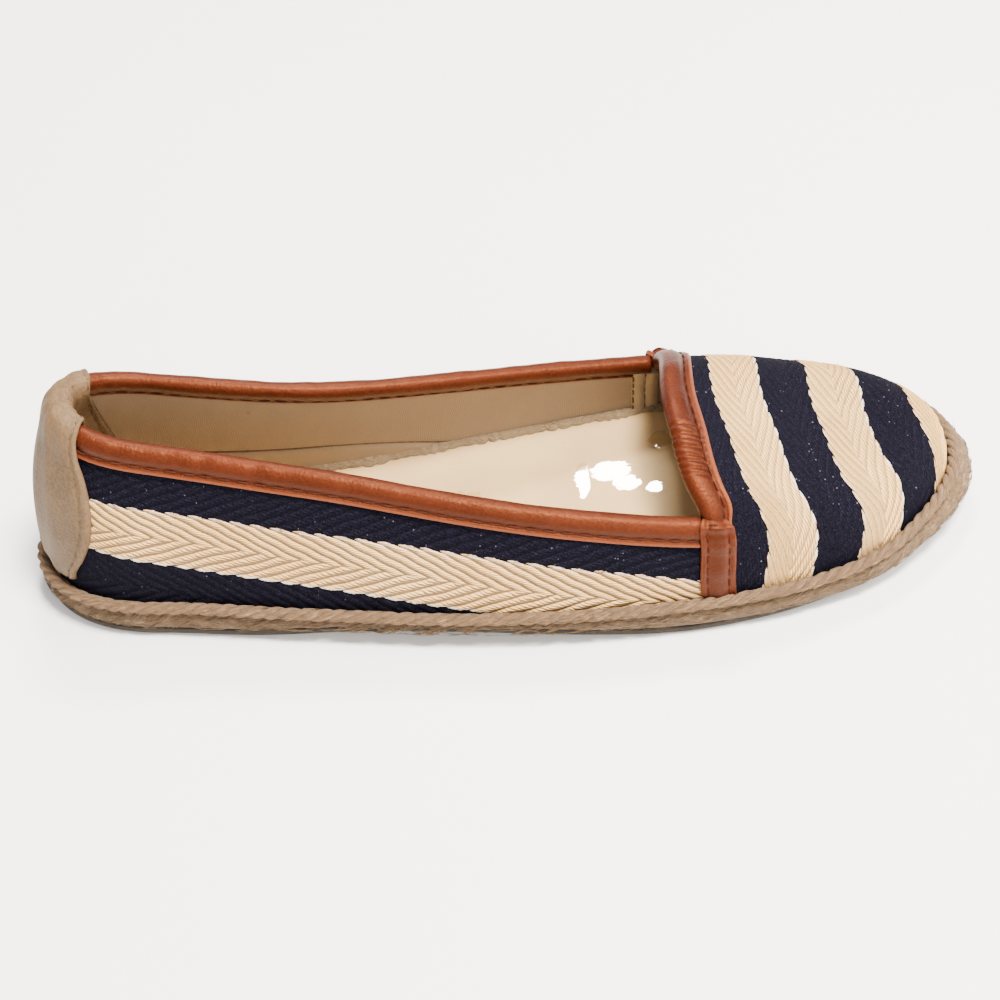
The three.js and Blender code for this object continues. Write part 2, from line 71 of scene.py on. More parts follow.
# Height of the topline above the foot, and how soon the wall leans in on its way up: more is sooner.
QUARTER_X = [0, 80, 140, 173.2, 255]
TOPLINE = [49.5, 36.7, 26.3, 20.7, 10.4]
SLACK = [0.91, 1.45, 0.82, 0.54, 0.62]


# ---- shape of the last, shared by every piece

def along(stations, values, x):
    """Smooth curve through the values at the stations."""
    stations, values = np.asarray(stations, float), np.asarray(values, float)
    x = np.asarray(x, float)
    run = np.diff(stations)
    slope = np.diff(values) / run
    bend = np.concatenate([
        slope[:1],
        (slope[:-1] * run[1:] + slope[1:] * run[:-1]) / (run[:-1] + run[1:]),
        slope[-1:],
    ])
    i = np.clip(np.searchsorted(stations, x) - 1, 0, len(run) - 1)
    t = np.clip((x - stations[i]) / run[i], 0, 1)
    return ease(t, run[i], values[i], bend[i], values[i + 1], bend[i + 1])


def ease(t, run, start, start_slope, end, end_slope):
    """Smooth passage over a run from one height and slope to another, t of the way."""
    return ((2 * t**3 - 3 * t**2 + 1) * start + (t**3 - 2 * t**2 + t) * run * start_slope
            + (3 * t**2 - 2 * t**3) * end + (t**3 - t**2) * run * end_slope)


def step(low, high, x):
    """0 below low, 1 above high, smooth between."""
    t = np.clip((np.asarray(x, float) - low) / (high - low), 0, 1)
    return t * t * (3 - 2 * t)


def bell(x, middle, width):
    return np.exp(-((np.asarray(x, float) - middle) / width) ** 2)


def unit(v):
    return v / np.maximum(np.linalg.norm(v, axis=-1, keepdims=True), 1e-12)


def station(u):
    return (1 - np.cos(2 * np.pi * u)) / 2 * LENGTH


def share(x):
    return np.arccos(np.clip(1 - 2 * np.asarray(x, float) / LENGTH, -1, 1)) / (2 * np.pi)


def centre(x):
    return along(OUTLINE_X, CENTRE_LINE, x)


def turn(x):
    """Direction of the centre line."""
    a, b = np.maximum(x - 4, 0), np.minimum(x + 4, LENGTH)
    return np.arctan2(centre(b) - centre(a), b - a)


def cap(t, power):
    return (1 - (1 - np.clip(t, 0, 1)) ** power) ** (1 / power)


def outline(u):
    """Edge of the sole at a share of the way round: 0 at the heel, 0.5 at the toe, the outer side first."""
    x = station(u)
    side = np.where(np.sin(2 * np.pi * u) >= 0, -1.0, 1.0)
    half = along(OUTLINE_X, HALF_WIDTH, x) * side * cap(x / HEEL_CAP, 2.0) * cap((LENGTH - x) / TOE_CAP, 2.13)
    f = turn(x)
    return np.stack([x - np.sin(f) * half, centre(x) + np.cos(f) * half], -1)


def rim(u, inset):
    """Point of the sole's outline moved inwards, square to it."""
    run = unit(outline(u + 1e-3) - outline(u - 1e-3))
    inward = np.stack([-run[..., 1], run[..., 0]], -1)
    return outline(u) + inward * np.expand_dims(np.broadcast_to(inset, np.shape(u)), -1)


def over_rim(u, inset, z):
    """Point at a height, over the sole's outline moved inwards."""
    flat = rim(u, inset)
    return np.concatenate([flat, np.broadcast_to(z, flat.shape[:-1])[..., None]], -1)


def run_along(line):
    """Distance along a line of points to each of them."""
    return np.concatenate([[0], np.cumsum(np.linalg.norm(np.diff(line, axis=0), axis=1))])


def perimeter(u):
    """Distance round the shoe to each share of the way."""
    fine = np.linspace(0, 1, 2001)
    return np.interp(np.mod(u, 1), fine, run_along(outline(fine)))


def on_side(u, outer):
    """A share of the way round on the outer side, or its twin on the inner side."""
    return u if outer else 1 - u


def shelf(x):
    return np.maximum(along(SHELF_X, SHELF, x), 0)


def spring(x):
    """How far the toe is raised off the floor."""
    return 5.2 * (np.maximum(x - 173, 0) / 82) ** 2


def ridge_station(x):
    heel = ease(np.clip(x / HEEL_FAN, 0, 1), HEEL_FAN, HEEL_CROWN, 0, HEEL_FAN, 1)
    run = LENGTH - TOE_FAN
    toe = ease(np.clip((x - TOE_FAN) / run, 0, 1), run, TOE_FAN, 1, TOE_POLE, 0)
    return np.where(x < HEEL_FAN, heel, np.where(x > TOE_FAN, toe, x))


def ridge_height(x):
    return LAST_FOOT + spring(x) + along(CROWN_X, CROWN, x)


def ridge_slope(x):
    return (ridge_height(x + 2) - ridge_height(x - 2)) / 4


def ridge_point(x):
    xr = ridge_station(x)
    f = turn(xr)
    return xr - np.sin(f) * RIDGE_SHIFT, centre(xr) + np.cos(f) * RIDGE_SHIFT, xr


def last(u, v):
    """Outer face of the upper: u round the shoe, v from the foot of the last to its ridge."""
    u, v = np.broadcast_arrays(np.asarray(u, float), np.asarray(v, float))
    x = station(u)
    foot = rim(u, UPPER_INSET + shelf(x))
    rx, ry, xr = ridge_point(x)
    angle = v * np.pi / 2
    inward = 1 - np.maximum(np.cos(angle), 0) ** along(QUARTER_X, SLACK, x)
    rise = np.sin(np.clip(angle, 0, np.pi / 2)) ** RISE_POWER
    slope = ridge_slope(xr)
    sag = slope * (rx - foot[..., 0]) * inward * inward * (inward - 1)
    z = (LAST_FOOT + spring(x)) * (1 - rise) + ridge_height(xr) * rise + sag
    return np.stack([foot[..., 0] + (rx - foot[..., 0]) * inward,
                     foot[..., 1] + (ry - foot[..., 1]) * inward, z], -1)


def last_normal(u, v):
    u, v = np.broadcast_arrays(np.asarray(u, float), np.asarray(v, float))
    e = 0.002
    low_v = np.minimum(v, 1 - 2 * e)
    round_ = last(u + e, low_v) - last(u - e, low_v)
    up = last(u, low_v + e) - last(u, np.maximum(low_v - e, 0))
    normal = unit(np.cross(round_, up))
    xr = ridge_station(station(u))
    f = turn(xr)
    slope = ridge_slope(xr)
    top = unit(np.cross(np.stack([np.cos(f), np.sin(f), slope], -1),
                        np.stack([-np.sin(f), np.cos(f), 0 * f], -1)))
    blend = step(0.93, 1.0, v)[..., None]
    return unit(normal * (1 - blend) + top * blend)


def skin(u, v, out=0.0):
    """Point at a distance out from the upper's outer face. Below v = 0 the wall stands straight down."""
    u, v, out = np.broadcast_arrays(*(np.asarray(a, float) for a in (u, v, out)))
    on = np.maximum(v, 0)
    point = last(u, on) + last_normal(u, np.maximum(on, 0.004)) * out[..., None]
    x = station(u)
    depth = np.minimum(v, 0) * FOOT_DEPTH_PER_V
    foot = over_rim(u, UPPER_INSET + shelf(x) - out, LAST_FOOT + spring(x) + depth)
    return np.where((v <= 0)[..., None], foot, point)


def topline_v(u):
    x = station(u)
    part = along(QUARTER_X, TOPLINE, x) / along(CROWN_X, CROWN, ridge_station(x))
    return np.arcsin(np.clip(part, 0, 1) ** (1 / RISE_POWER)) / (np.pi / 2)


def from_topline(u, down, out):
    """Point a distance down the wall from the topline, and out from the wall's outer face."""
    u, down, out = np.broadcast_arrays(*(np.asarray(a, float) for a in (u, down, out)))
    top = topline_v(u)
    edge = last(u, top)
    below = last(u, top - 0.01)
    per_v = np.linalg.norm(edge - below, axis=-1) / 0.01
    v = top - np.maximum(down, 0) / per_v
    for _ in range(4):
        gone = np.linalg.norm(edge - last(u, np.maximum(v, 0)), axis=-1)
        v = np.where(down > 0, v + (gone - down) / per_v, top)
    over = np.maximum(-down, 0)[..., None] * unit(edge - below)
    return skin(u, v, out) + over


# ---- mesh making

def numbers(grid_shape):
    return np.arange(int(np.prod(grid_shape))).reshape(grid_shape)


def quads_of(index, close_rows=False, close_columns=False):
    """Faces between neighbouring rows and columns of a grid of vertex numbers."""
    if close_rows:
        index = np.concatenate([index, index[:1]])
    if close_columns:
        index = np.concatenate([index, index[:, :1]], axis=1)
    return np.stack([index[:-1, :-1], index[:-1, 1:], index[1:, 1:], index[1:, :-1]], -1).reshape(-1, 4)


def capped(index):
    """Faces of a closed bar from a grid of vertex numbers: its wall, and its two ends."""
    return quads_of(index, close_columns=True).tolist() + [index[0, ::-1].tolist(), index[-1].tolist()]


def thick(outer, inner, skip=1):
    """Points and faces of a closed sheet from its two grids. The inner one keeps every skip-th point."""
    inner = inner[::skip, ::skip]
    a = numbers(outer.shape[:2])
    b = numbers(inner.shape[:2]) + a.size

    def hem(near, far, flip):
        loops = [[*near[k * skip:(k + 1) * skip + 1].tolist(), int(far[k + 1]), int(far[k])]
                 for k in range(len(far) - 1)]
        return [loop[::-1] for loop in loops] if flip else loops
    faces = quads_of(a).tolist() + quads_of(b)[:, ::-1].tolist()
    faces += hem(a[0], b[0], True) + hem(a[-1], b[-1], False)
    faces += hem(a[:, 0], b[:, 0], False) + hem(a[:, -1], b[:, -1], True)
    return np.concatenate([outer.reshape(-1, 3), inner.reshape(-1, 3)]), faces


def lie_of(run, across, third=0.0):
    """Places in a piece's own cloth or leather, from three sets of values that fit one grid."""
    return np.stack(np.broadcast_arrays(run, across, third), -1)


def both_sides(lie, skip=1):
    """The places for the two grids of a thick sheet."""
    return np.concatenate([lie.reshape(-1, 3), lie[::skip, ::skip].reshape(-1, 3)])


def weld(points, faces, lie, grain=0.002):
    """Shared corners become one vertex, and collapsed faces go."""
    _, first, back = np.unique(np.round(points / grain).astype(np.int64), axis=0,
                               return_index=True, return_inverse=True)
    back = back.ravel().tolist()
    kept = [tuple(dict.fromkeys(back[k] for k in f)) for f in faces]
    kept = [f for f in kept if len(f) > 2]
    return points[first], kept, None if lie is None else lie[first]


def of_faces(mesh, what, width):
    found = np.zeros(len(mesh.polygons) * width)
    mesh.polygons.foreach_get(what, found)
    return found.reshape(-1, width)


def inside_out(mesh):
    flow = (of_faces(mesh, "center", 3) * of_faces(mesh, "normal", 3)).sum(1)
    return (flow * of_faces(mesh, "area", 1)[:, 0]).sum() < 0


def piece(name, points, faces, finish, stands_for=(), lie=None, merge=False):
    """A named mesh piece of the shoe. lie is each vertex's place in its own cloth, in millimetres."""
    points = np.asarray(points).reshape(-1, 3)
    if lie is not None:
        lie = np.asarray(lie, float).reshape(-1, 3)
    if merge:
        points, faces, lie = weld(points, faces, lie)
    mesh = bpy.data.meshes.new(name)
    mesh.from_pydata(((points + SHIFT) / 1000).tolist(), [], [list(map(int, f)) for f in faces])
    if lie is not None:
        places = mesh.attributes.new("lie", "FLOAT_VECTOR", "POINT")
        places.data.foreach_set("vector", lie.astype(np.float32).ravel())
    mesh.update()
    if inside_out(mesh):
        mesh.flip_normals()
    mesh.polygons.foreach_set("use_smooth", np.ones(len(mesh.polygons), bool))
    mesh.materials.append(finish)
    ob = bpy.data.objects.new(name, mesh)
    bpy.context.scene.collection.objects.link(ob)
    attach(ob, "root")
    if stands_for:
        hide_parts(*stands_for)


# ---- finishes

class Wire:
    """A value, colour or vector on its way through a finish."""

    def __init__(self, finish, socket):
        self.finish = finish
        self.socket = socket

    def __add__(self, other):
        return self.finish.math("ADD", self, other)

    def __radd__(self, other):
        return self.finish.math("ADD", other, self)

    def __sub__(self, other):
        return self.finish.math("SUBTRACT", self, other)

    def __rsub__(self, other):
        return self.finish.math("SUBTRACT", other, self)

    def __mul__(self, other):
        return self.finish.math("MULTIPLY", self, other)

    def __rmul__(self, other):
        return self.finish.math("MULTIPLY", other, self)

    def __truediv__(self, other):
        return self.finish.math("DIVIDE", self, other)

    def __rtruediv__(self, other):
        return self.finish.math("DIVIDE", other, self)

    def __pow__(self, other):
        return self.finish.math("POWER", self, other)

    def __rpow__(self, other):
        return self.finish.math("POWER", other, self)


class Finish:
    """A procedural finish for one of the shoe's materials."""

    def __init__(self, name):
        self.material = bpy.data.materials.new(name)
        self.material.use_nodes = True
        self.tree = self.material.node_tree
        self.tree.nodes.clear()

    def node(self, kind, settings=None, out=0, **sockets):
        """One node: its settings first, then its sockets by name, or by number as i0, i1 and so on."""
        made = self.tree.nodes.new(kind)
        for key, value in (settings or {}).items():
            if key == "stops":
                self.set_stops(made.color_ramp.elements, value)
            else:
                setattr(made, key, value)
        for key, value in sockets.items():
            by_number = key[0] == "i" and key[1:].isdigit()
            target = made.inputs[int(key[1:]) if by_number else key.replace("_", " ")]
            if isinstance(value, Wire):
                self.tree.links.new(value.socket, target)
            elif target.type == "RGBA":
                target.default_value = (*value, 1)
            else:
                target.default_value = value
        return Wire(self, made.outputs[out]) if made.outputs else None

    def set_stops(self, elements, stops):
        while len(elements) < len(stops):
            elements.new(0.5)
        for element, (place, colour) in zip(elements, stops):
            element.position = place
            element.color = (*colour, 1)

    def math(self, operation, a, b=0.0):
        return self.node("ShaderNodeMath", {"operation": operation}, i0=a, i1=b)

    def larger(self, a, b):
        return self.math("MAXIMUM", a, b)

    def smaller(self, a, b):
        return self.math("MINIMUM", a, b)

    def whole(self, a):
        return self.math("FLOOR", a)

    def part(self, a):
        return self.math("FRACT", a)

    def size(self, a):
        return self.math("ABSOLUTE", a)

    def rise(self, value, low, high):
        """0 below low, 1 above high, smooth between."""
        return self.node("ShaderNodeMapRange", {"interpolation_type": "SMOOTHSTEP"},
                         Value=value, From_Min=low, From_Max=high)

    def blend(self, factor, first, second):
        return self.node("ShaderNodeMix", {"data_type": "RGBA"}, out=2, i0=factor, i6=first, i7=second)

    def lie(self):
        """Place in the piece's own cloth or leather: two values in millimetres, and a third."""
        return self.axes(self.node("ShaderNodeAttribute", {"attribute_name": "lie"}, out=1))

    def axes(self, vector):
        parts = self.node("ShaderNodeSeparateXYZ", Vector=vector).socket.node
        return [Wire(self, output) for output in parts.outputs]

    def place(self):
        """Position on the shoe, in millimetres."""
        return self.scaled(self.node("ShaderNodeTexCoord", out=3), 1000)

    def scaled(self, vector, by):
        by = by if isinstance(by, tuple) else (by, by, by)
        return self.node("ShaderNodeVectorMath", {"operation": "MULTIPLY"}, i0=vector, i1=by)

    def vector(self, x, y, z=0.0):
        return self.node("ShaderNodeCombineXYZ", X=x, Y=y, Z=z)

    def noise(self, vector, scale, detail=2.0, roughness=0.5):
        return self.node("ShaderNodeTexNoise", Vector=vector, Scale=scale, Detail=detail, Roughness=roughness)

    def cells(self, vector, scale):
        """Distance to the nearest of scattered points."""
        return self.node("ShaderNodeTexVoronoi", Vector=vector, Scale=scale)

    def streak(self, turns):
        """A wave with straight sides: 0 half way through each turn, 1 between two turns."""
        return self.size(self.part(turns) * 2.0 - 1.0)

    def ramp(self, value, stops):
        return self.node("ShaderNodeValToRGB", {"stops": stops}, Fac=value)

    def bump(self, height, distance, strength=1.0):
        return self.node("ShaderNodeBump", Strength=strength, Distance=distance / 1000, Height=height)

    def made(self, colour, roughness, normal, **fixed):
        shader = self.node("ShaderNodeBsdfPrincipled", Base_Color=colour, Roughness=roughness, Normal=normal,
                           **fixed)
        self.node("ShaderNodeOutputMaterial", Surface=shader)
        return self.material


CORD_PITCH = 5.45            # along the stripe, from one cord to the next
CORD_RUN = 17.5              # along the stripe, while a cord crosses half of it
CORD_TOOTH = 0.042           # reach of a cord's end past the border, in stripes
CORD_TURNS = 13.0            # twists of a cord while it crosses half a stripe


def beige_threads(f, place, fibre, painted_gap_shade, light):
    """Beige cord: a slow change of tone, pale loose fibres, and painted shade in brown between the cords and
    on their lower flanks.
    """
    tone = f.rise(f.noise(place, 0.05, 3), 0.35, 0.65)
    colour = f.blend(tone, (0.84 * light, 0.48 * light, 0.17), (0.90 * light, 0.55 * light, 0.22))
    colour = f.blend(f.rise(fibre, 0.5, 0.8) * 0.3, colour, (0.92, 0.68, 0.40))
    return f.blend(painted_gap_shade, colour, (0.150, 0.096, 0.056))


def navy_threads(f, place, fuzz, painted_gap_shade, flecks):
    """Navy cord: mottled fuzz, finer pale spots that are painted highlights on the lumpy fibres, painted
    shade in the gaps, and a few pale flecks.
    """
    colour = f.blend(f.rise(fuzz, 0.36, 0.62), (0.0010, 0.0009, 0.0025), (0.0068, 0.0060, 0.0130))
    # Painted highlight: paler spots where the lumpy fibres would catch the light.
    colour = f.blend(f.rise(f.noise(place, 3.0, 3, 0.7), 0.52, 0.68) * 0.8, colour, (0.020, 0.018, 0.035))
    # Painted shade in the gaps between cords.
    colour = f.blend(painted_gap_shade, colour, (0.0008, 0.0007, 0.0016))
    fleck = 1.0 - f.rise(f.cells(f.scaled(place, (1.0, 1.0, 0.8)), 0.72), 0.07, 0.17)
    chosen = f.rise(f.noise(place, 0.33, 2), 0.52, 0.62)
    return f.blend(fleck * chosen * flecks, colour, (0.22, 0.21, 0.29))


def canvas(name, depth, light, flecks, dotted):
    """Herringbone canvas: navy and beige stripes of twisted cords that turn at each stripe's middle and edge.

    depth is how dark the painted shade in the beige gaps is, and dotted is the share of that shade that shows
    as rows of dots.
    """
    f = Finish(name)
    s, stripe, _ = f.lie()
    place = f.place()
    toward = (0.5 - f.size(f.part(stripe) - 0.5)) * 2.0         # 0 at the borders, 1 in the middle
    cord = (s - toward * CORD_RUN) / CORD_PITCH
    across = f.part(cord)
    side = f.streak(cord)                                       # 1 in the gap between two cords
    round_ = f.larger(1.0 - side * side, 0.0) ** 0.8
    leaning = f.math("SIGN", f.part(stripe) - 0.5)
    low = 0.5 + (across - 0.5) * leaning                        # 1 on the cord's lower flank

    from_beige = f.streak((stripe + 0.5) * 0.5)                 # distance from a beige stripe's middle
    nub = (1.0 - 2.0 * across) * 0.6 + (round_ - 0.6) * 0.7     # rounded end of a cord at the border
    ragged = (f.noise(place, 1.3, 3) - 0.5) * 0.035
    edge = 0.5 - from_beige + nub * CORD_TOOTH + ragged
    beige = f.rise(edge, -0.006, 0.006)

    twist = toward * CORD_TURNS + across * 1.3 * leaning + f.whole(cord) * 0.37 + f.noise(place, 0.5, 1) * 1.2
    ply = f.streak(twist)                                       # 1 between two plies
    fibre = f.noise(place, 5.0, 3, 0.65)
    fuzz = f.noise(f.scaled(place, (1.0, 1.5, 1.0)), 1.9, 4, 0.72)
    uneven = f.noise(place, 0.9, 3, 0.6)
    # Painted shade: the cords' lower flanks, the gaps between cords and the grooves between plies are
    # darkened as if lit from above.
    toothed = f.rise(low + (ply - 0.5) * 0.60 + (fibre - 0.5) * 0.24, 0.30, 0.62)
    behind = f.rise(side + (fibre - 0.5) * 0.2, 0.80, 0.97)
    dots = f.rise(f.streak(cord * 2.0), 0.35, 0.85) * f.rise(ply, 0.25, 0.75)
    painted_gap_shade = f.larger(toothed, behind) * (1.0 - 0.55 * dotted) + dots * (0.75 * dotted)
    painted_gap_shade = f.smaller((painted_gap_shade + f.rise(ply, 0.45, 1.0) * 0.60) * (0.45 + 1.1 * uneven), 1.0)

    at_border = f.rise(edge, -0.004, 0.004) * (1.0 - f.rise(edge, 0.036, 0.058))
    thread_end = at_border * f.rise(1.0 - across, 0.12, 0.3)
    far_side = f.rise(f.part(stripe * 0.5 - 0.25), 0.495, 0.505)
    thread_end = thread_end * (1.0 - far_side * 0.62) * f.rise(f.noise(place, 0.6, 2), 0.32, 0.5)
    pale = beige_threads(f, place, fibre, painted_gap_shade * depth, light)
    dark = navy_threads(f, place, fuzz, painted_gap_shade * 0.60, flecks)
    colour = f.blend(thread_end * 0.8, f.blend(beige, dark, pale), (0.95, 0.86, 0.74))

    cord_height = round_ * (0.55 + 0.45 * (1.0 - ply * ply)) + fibre * 0.22
    height = cord_height * (0.30 + 0.70 * beige) + beige * 0.35 + f.noise(place, 2.4, 3) * 0.30 + fuzz * 0.30
    return f.made(colour, 0.92, f.bump(height, 0.80), Specular_IOR_Level=0.04)


def tan_leather():
    """Grained tan leather, pale on its cut edge, with painted shade on a band over and above the stitches,
    where a roll tucks in.
    """
    f = Finish("tan_leather")
    place = f.place()
    run, across, worn = f.lie()
    grain = f.cells(place, 1.5)
    pores = f.noise(place, 3.2, 3, 0.6)
    cloud = f.noise(place, 0.07, 3)
    mottle = f.noise(place, 0.45, 3, 0.6)
    colour = f.blend(f.rise(cloud, 0.3, 0.7), (0.030, 0.0056, 0.0023), (0.043, 0.0082, 0.0034))
    colour = f.blend(f.rise(grain, 0.35, 0.75) * 0.30, colour, (0.075, 0.0145, 0.0045))
    colour = f.blend(f.rise(pores, 0.5, 0.8) * 0.5, colour, (0.018, 0.0028, 0.0008))
    colour = f.blend(f.rise(mottle, 0.5, 0.75) * 0.35, colour, (0.026, 0.0042, 0.0011))
    colour = f.blend(f.rise(worn, 0.2, 1.0) * 0.65, colour, (0.20, 0.055, 0.022))
    # Painted shade: darker from 1 to 5.6 mm across each piece, where a roll tucks in to its stitches, but not
    # on raw edges.
    groove = f.rise(across, 1.0, 3.6) * (1.0 - f.rise(across, 4.9, 5.6)) * (1.0 - f.rise(worn, 0.02, 0.3))
    colour = f.blend(groove * 0.6, colour, (0.014, 0.0022, 0.0008))
    rough = 0.31 + 0.12 * pores + 0.10 * cloud
    crease = f.noise(f.vector(run * 1.6, across * 0.5), 0.30, 4, 0.62)
    height = grain * 0.34 + pores * 0.22 + crease * 0.6
    return f.made(colour, rough, f.bump(height, 0.22, 0.85), Specular_IOR_Level=0.32,
                  Specular_Tint=(1.0, 0.34, 0.16))


def cream_leather():
    """Matt grained leather of the heel patch."""
    f = Finish("cream_leather")
    place = f.place()
    grain = f.cells(place, 1.1)
    cloud = f.noise(place, 0.12, 3)
    pores = f.noise(place, 3.0, 3, 0.6)
    colour = f.blend(f.rise(cloud, 0.3, 0.7), (0.080, 0.047, 0.023), (0.112, 0.067, 0.034))
    colour = f.blend(f.rise(grain, 0.30, 0.75) * 0.35, colour, (0.150, 0.094, 0.050))
    colour = f.blend(f.rise(pores, 0.5, 0.8) * 0.5, colour, (0.042, 0.023, 0.010))
    height = grain * 0.7 + pores * 0.4
    return f.made(colour, 0.50 + 0.15 * pores, f.bump(height, 0.24, 0.8), Specular_IOR_Level=0.14)


def thread(name, colour, dark):
    """Two-ply sewing thread, with painted shade between the plies."""
    f = Finish(name)
    place = f.place()
    run, across, _ = f.lie()
    ply = f.streak(run * 1.4 + across * 0.8)
    tint = f.blend(f.noise(place, 1.4, 2), colour, dark)
    # Painted shade: darker in the grooves between the plies.
    return f.made(f.blend(ply * 0.5, tint, dark), 0.6, f.bump(ply, 0.12, 0.7), Specular_IOR_Level=0.1)


def jute(name, light, mid, dark, slant=0.0, fibres=1.0):
    """Hairy jute: long fibres that run along the cord or slant across the wrap."""
    f = Finish(name)
    run, across, _ = f.lie()
    place = f.place()
    one_way = f.vector(run * 0.16 + across * slant, across - run * slant * 0.35)
    other_way = f.vector(run * 0.30 - across * slant * 1.4, across * 1.6 + run * slant * 0.5, 5.0)
    strands = f.noise(one_way, 2.1 * fibres, 5, 0.7)
    crossed = f.noise(other_way, 2.4 * fibres, 4, 0.7)
    fine = f.noise(f.vector(run * 0.4, across * 4.2, 3.0), 2.2 * fibres, 4, 0.7)
    cloud = f.noise(place, 0.16, 3)
    colour = f.ramp(strands * 0.45 + crossed * 0.25 + fine * 0.30, [(0.41, dark), (0.50, mid), (0.59, light)])
    colour = f.blend(f.rise(cloud, 0.35, 0.7) * 0.4, colour, mid)
    height = strands * 0.8 + crossed * 0.5 + fine * 0.6
    return f.made(colour, 0.92, f.bump(height, 0.8), Specular_IOR_Level=0.15,
                  Sheen_Weight=0.1, Sheen_Roughness=0.6)


def lining_cotton():
    """Beige cotton lining with a fine close weave."""
    f = Finish("lining_cotton")
    s, t, above = f.lie()
    place = f.place()
    wobble = f.noise(place, 0.5, 2)
    rib = f.streak((s * 0.85 + t + wobble * 0.6) / 0.62)
    warp = f.streak((s + wobble * 0.5) / 0.55)
    cloud = f.noise(place, 0.07, 3)
    nap = f.noise(place, 1.6, 4, 0.7)
    colour = f.blend(rib * 0.40 + warp * 0.40 + nap * 0.20, (0.130, 0.088, 0.050), (0.340, 0.250, 0.155))
    colour = f.blend(f.rise(cloud, 0.35, 0.7) * 0.45, colour, (0.215, 0.153, 0.092))
    tape = f.rise(above, 50.0, 60.0)
    colour = f.blend(tape * 0.6, colour, (0.38, 0.28, 0.155))
    # Painted shadow: a dark thin line along the facing's seam, where its step casts shade.
    seam = 1.0 - f.rise(f.size(above + (nap - 0.5) * 0.25), 0.16, 0.42)
    colour = f.blend(seam * 0.85, colour, (0.045, 0.024, 0.010))
    below = 1.0 - f.rise(above, -0.9, 0.3)
    colour = f.blend(below * 0.30, colour, (0.30, 0.205, 0.105))
    soil = f.cells(place, 0.055)
    colour = f.blend((1.0 - f.rise(soil, 0.02, 0.045)) * 0.45, colour, (0.075, 0.042, 0.017))
    height = rib * 0.4 + warp * 0.4 + nap * 0.5 - seam * 2.0
    return f.made(colour, 0.9, f.bump(height, 0.16, 0.7), Specular_IOR_Level=0.2, Sheen_Weight=0.08)


# Polished places on the sock: middle along and across, reach along and across.
SOCK_GLINTS = [
    (21.0, 8.0, 3.4, 11.0), (29.0, 11.0, 9.0, 6.5), (33.0, 5.5, 6.0, 5.0), (44.0, 22.0, 6.0, 5.5),
    (40.5, 3.0, 4.0, 3.5), (-37.0, 1.0, 3.0, 9.0), (-22.5, -2.0, 2.6, 9.5), (-13.0, 0.0, 3.2, 12.0),
    (-9.0, 5.0, 4.5, 3.0), (13.0, -13.5, 5.0, 2.8), (20.5, -12.5, 4.5, 3.4), (29.5, -17.0, 2.6, 2.8),
    (40.0, -17.5, 5.0, 2.6),
]


def patent_sock():
    """Cream sock with fine speckles, tilted a little to the window, which its polished places mirror."""
    f = Finish("patent_sock")
    place = f.place()
    speck = 1.0 - f.rise(f.cells(place, 0.95), 0.10, 0.22)
    speck = speck * f.rise(f.noise(place, 0.8, 2), 0.47, 0.6)
    cloud = f.noise(place, 0.035, 3)
    colour = f.blend(f.rise(cloud, 0.3, 0.7), (0.42, 0.265, 0.105), (0.49, 0.315, 0.130))
    colour = f.blend(speck * 0.6, colour, (0.20, 0.11, 0.035))
    x, y, _ = f.axes(place)
    tilt = y * 0.145 + y * y * 0.0008 - x * 0.026 + x * x * 0.0008
    height = tilt + f.noise(f.scaled(place, (0.7, 1.0, 1.0)), 0.22, 3, 0.5) * 0.05
    ragged = f.noise(place, 0.32, 3, 0.6) - 0.5
    glint = 0.0
    for middle_x, middle_y, along_reach, across_reach in SOCK_GLINTS:
        out_x = (x - middle_x) / (along_reach * 0.62) + ragged * 1.5
        out_y = (y - middle_y) / (across_reach * 0.62) + ragged * 0.8
        glint = f.larger(1.0 - f.rise(out_x * out_x + out_y * out_y, 0.85, 1.1), glint)
    return f.made(colour, 0.80 - 0.76 * glint, f.bump(height, 1.0), IOR=1.8)


def tread_rubber():
    """Dark rubber with worn streaks."""
    f = Finish("tread_rubber")
    place = f.place()
    cloud = f.noise(place, 0.1, 3)
    pores = f.noise(place, 2.2, 3)
    scuff = f.noise(f.scaled(place, (0.25, 1.4, 1.0)), 0.8, 4, 0.7)
    colour = f.blend(cloud, (0.020, 0.015, 0.011), (0.040, 0.030, 0.023))
    colour = f.blend(f.rise(scuff, 0.56, 0.8) * 0.5, colour, (0.075, 0.058, 0.044))
    height = pores + scuff * 0.5
    return f.made(colour, 0.66 + 0.25 * pores, f.bump(height, 0.15, 0.5), Specular_IOR_Level=0.25)


def pale_floor():
    f = Finish("pale_floor")
    place = f.place()
    cloud = f.noise(place, 0.012, 3)
    return f.made(f.blend(cloud, (0.83, 0.83, 0.83), (0.86, 0.86, 0.855)), 0.85,
                  f.bump(f.noise(place, 0.7, 3), 0.05, 0.3), Specular_IOR_Level=0.2)


# The third value, light, makes the beige paler: painted light, a little more on the vamp, which faces up to
# the lamps.
QUARTER_CANVAS = canvas("quarter_canvas", 0.90, 1.0, 0.3, 0.0)
VAMP_CANVAS = canvas("vamp_canvas", 0.72, 1.03, 0.65, 0.8)
TAN = tan_leather()
CREAM = cream_leather()
TAN_THREAD = thread("tan_thread", (0.085, 0.0190, 0.0070), (0.022, 0.0042, 0.0014))
CREAM_THREAD = thread("cream_thread", (0.17, 0.115, 0.062), (0.07, 0.042, 0.020))
BROWN_THREAD = thread("brown_thread", (0.120, 0.070, 0.032), (0.055, 0.029, 0.012))
CORD_JUTE = jute("jute_cord", (0.36, 0.210, 0.090), (0.155, 0.082, 0.033), (0.040, 0.018, 0.0065))
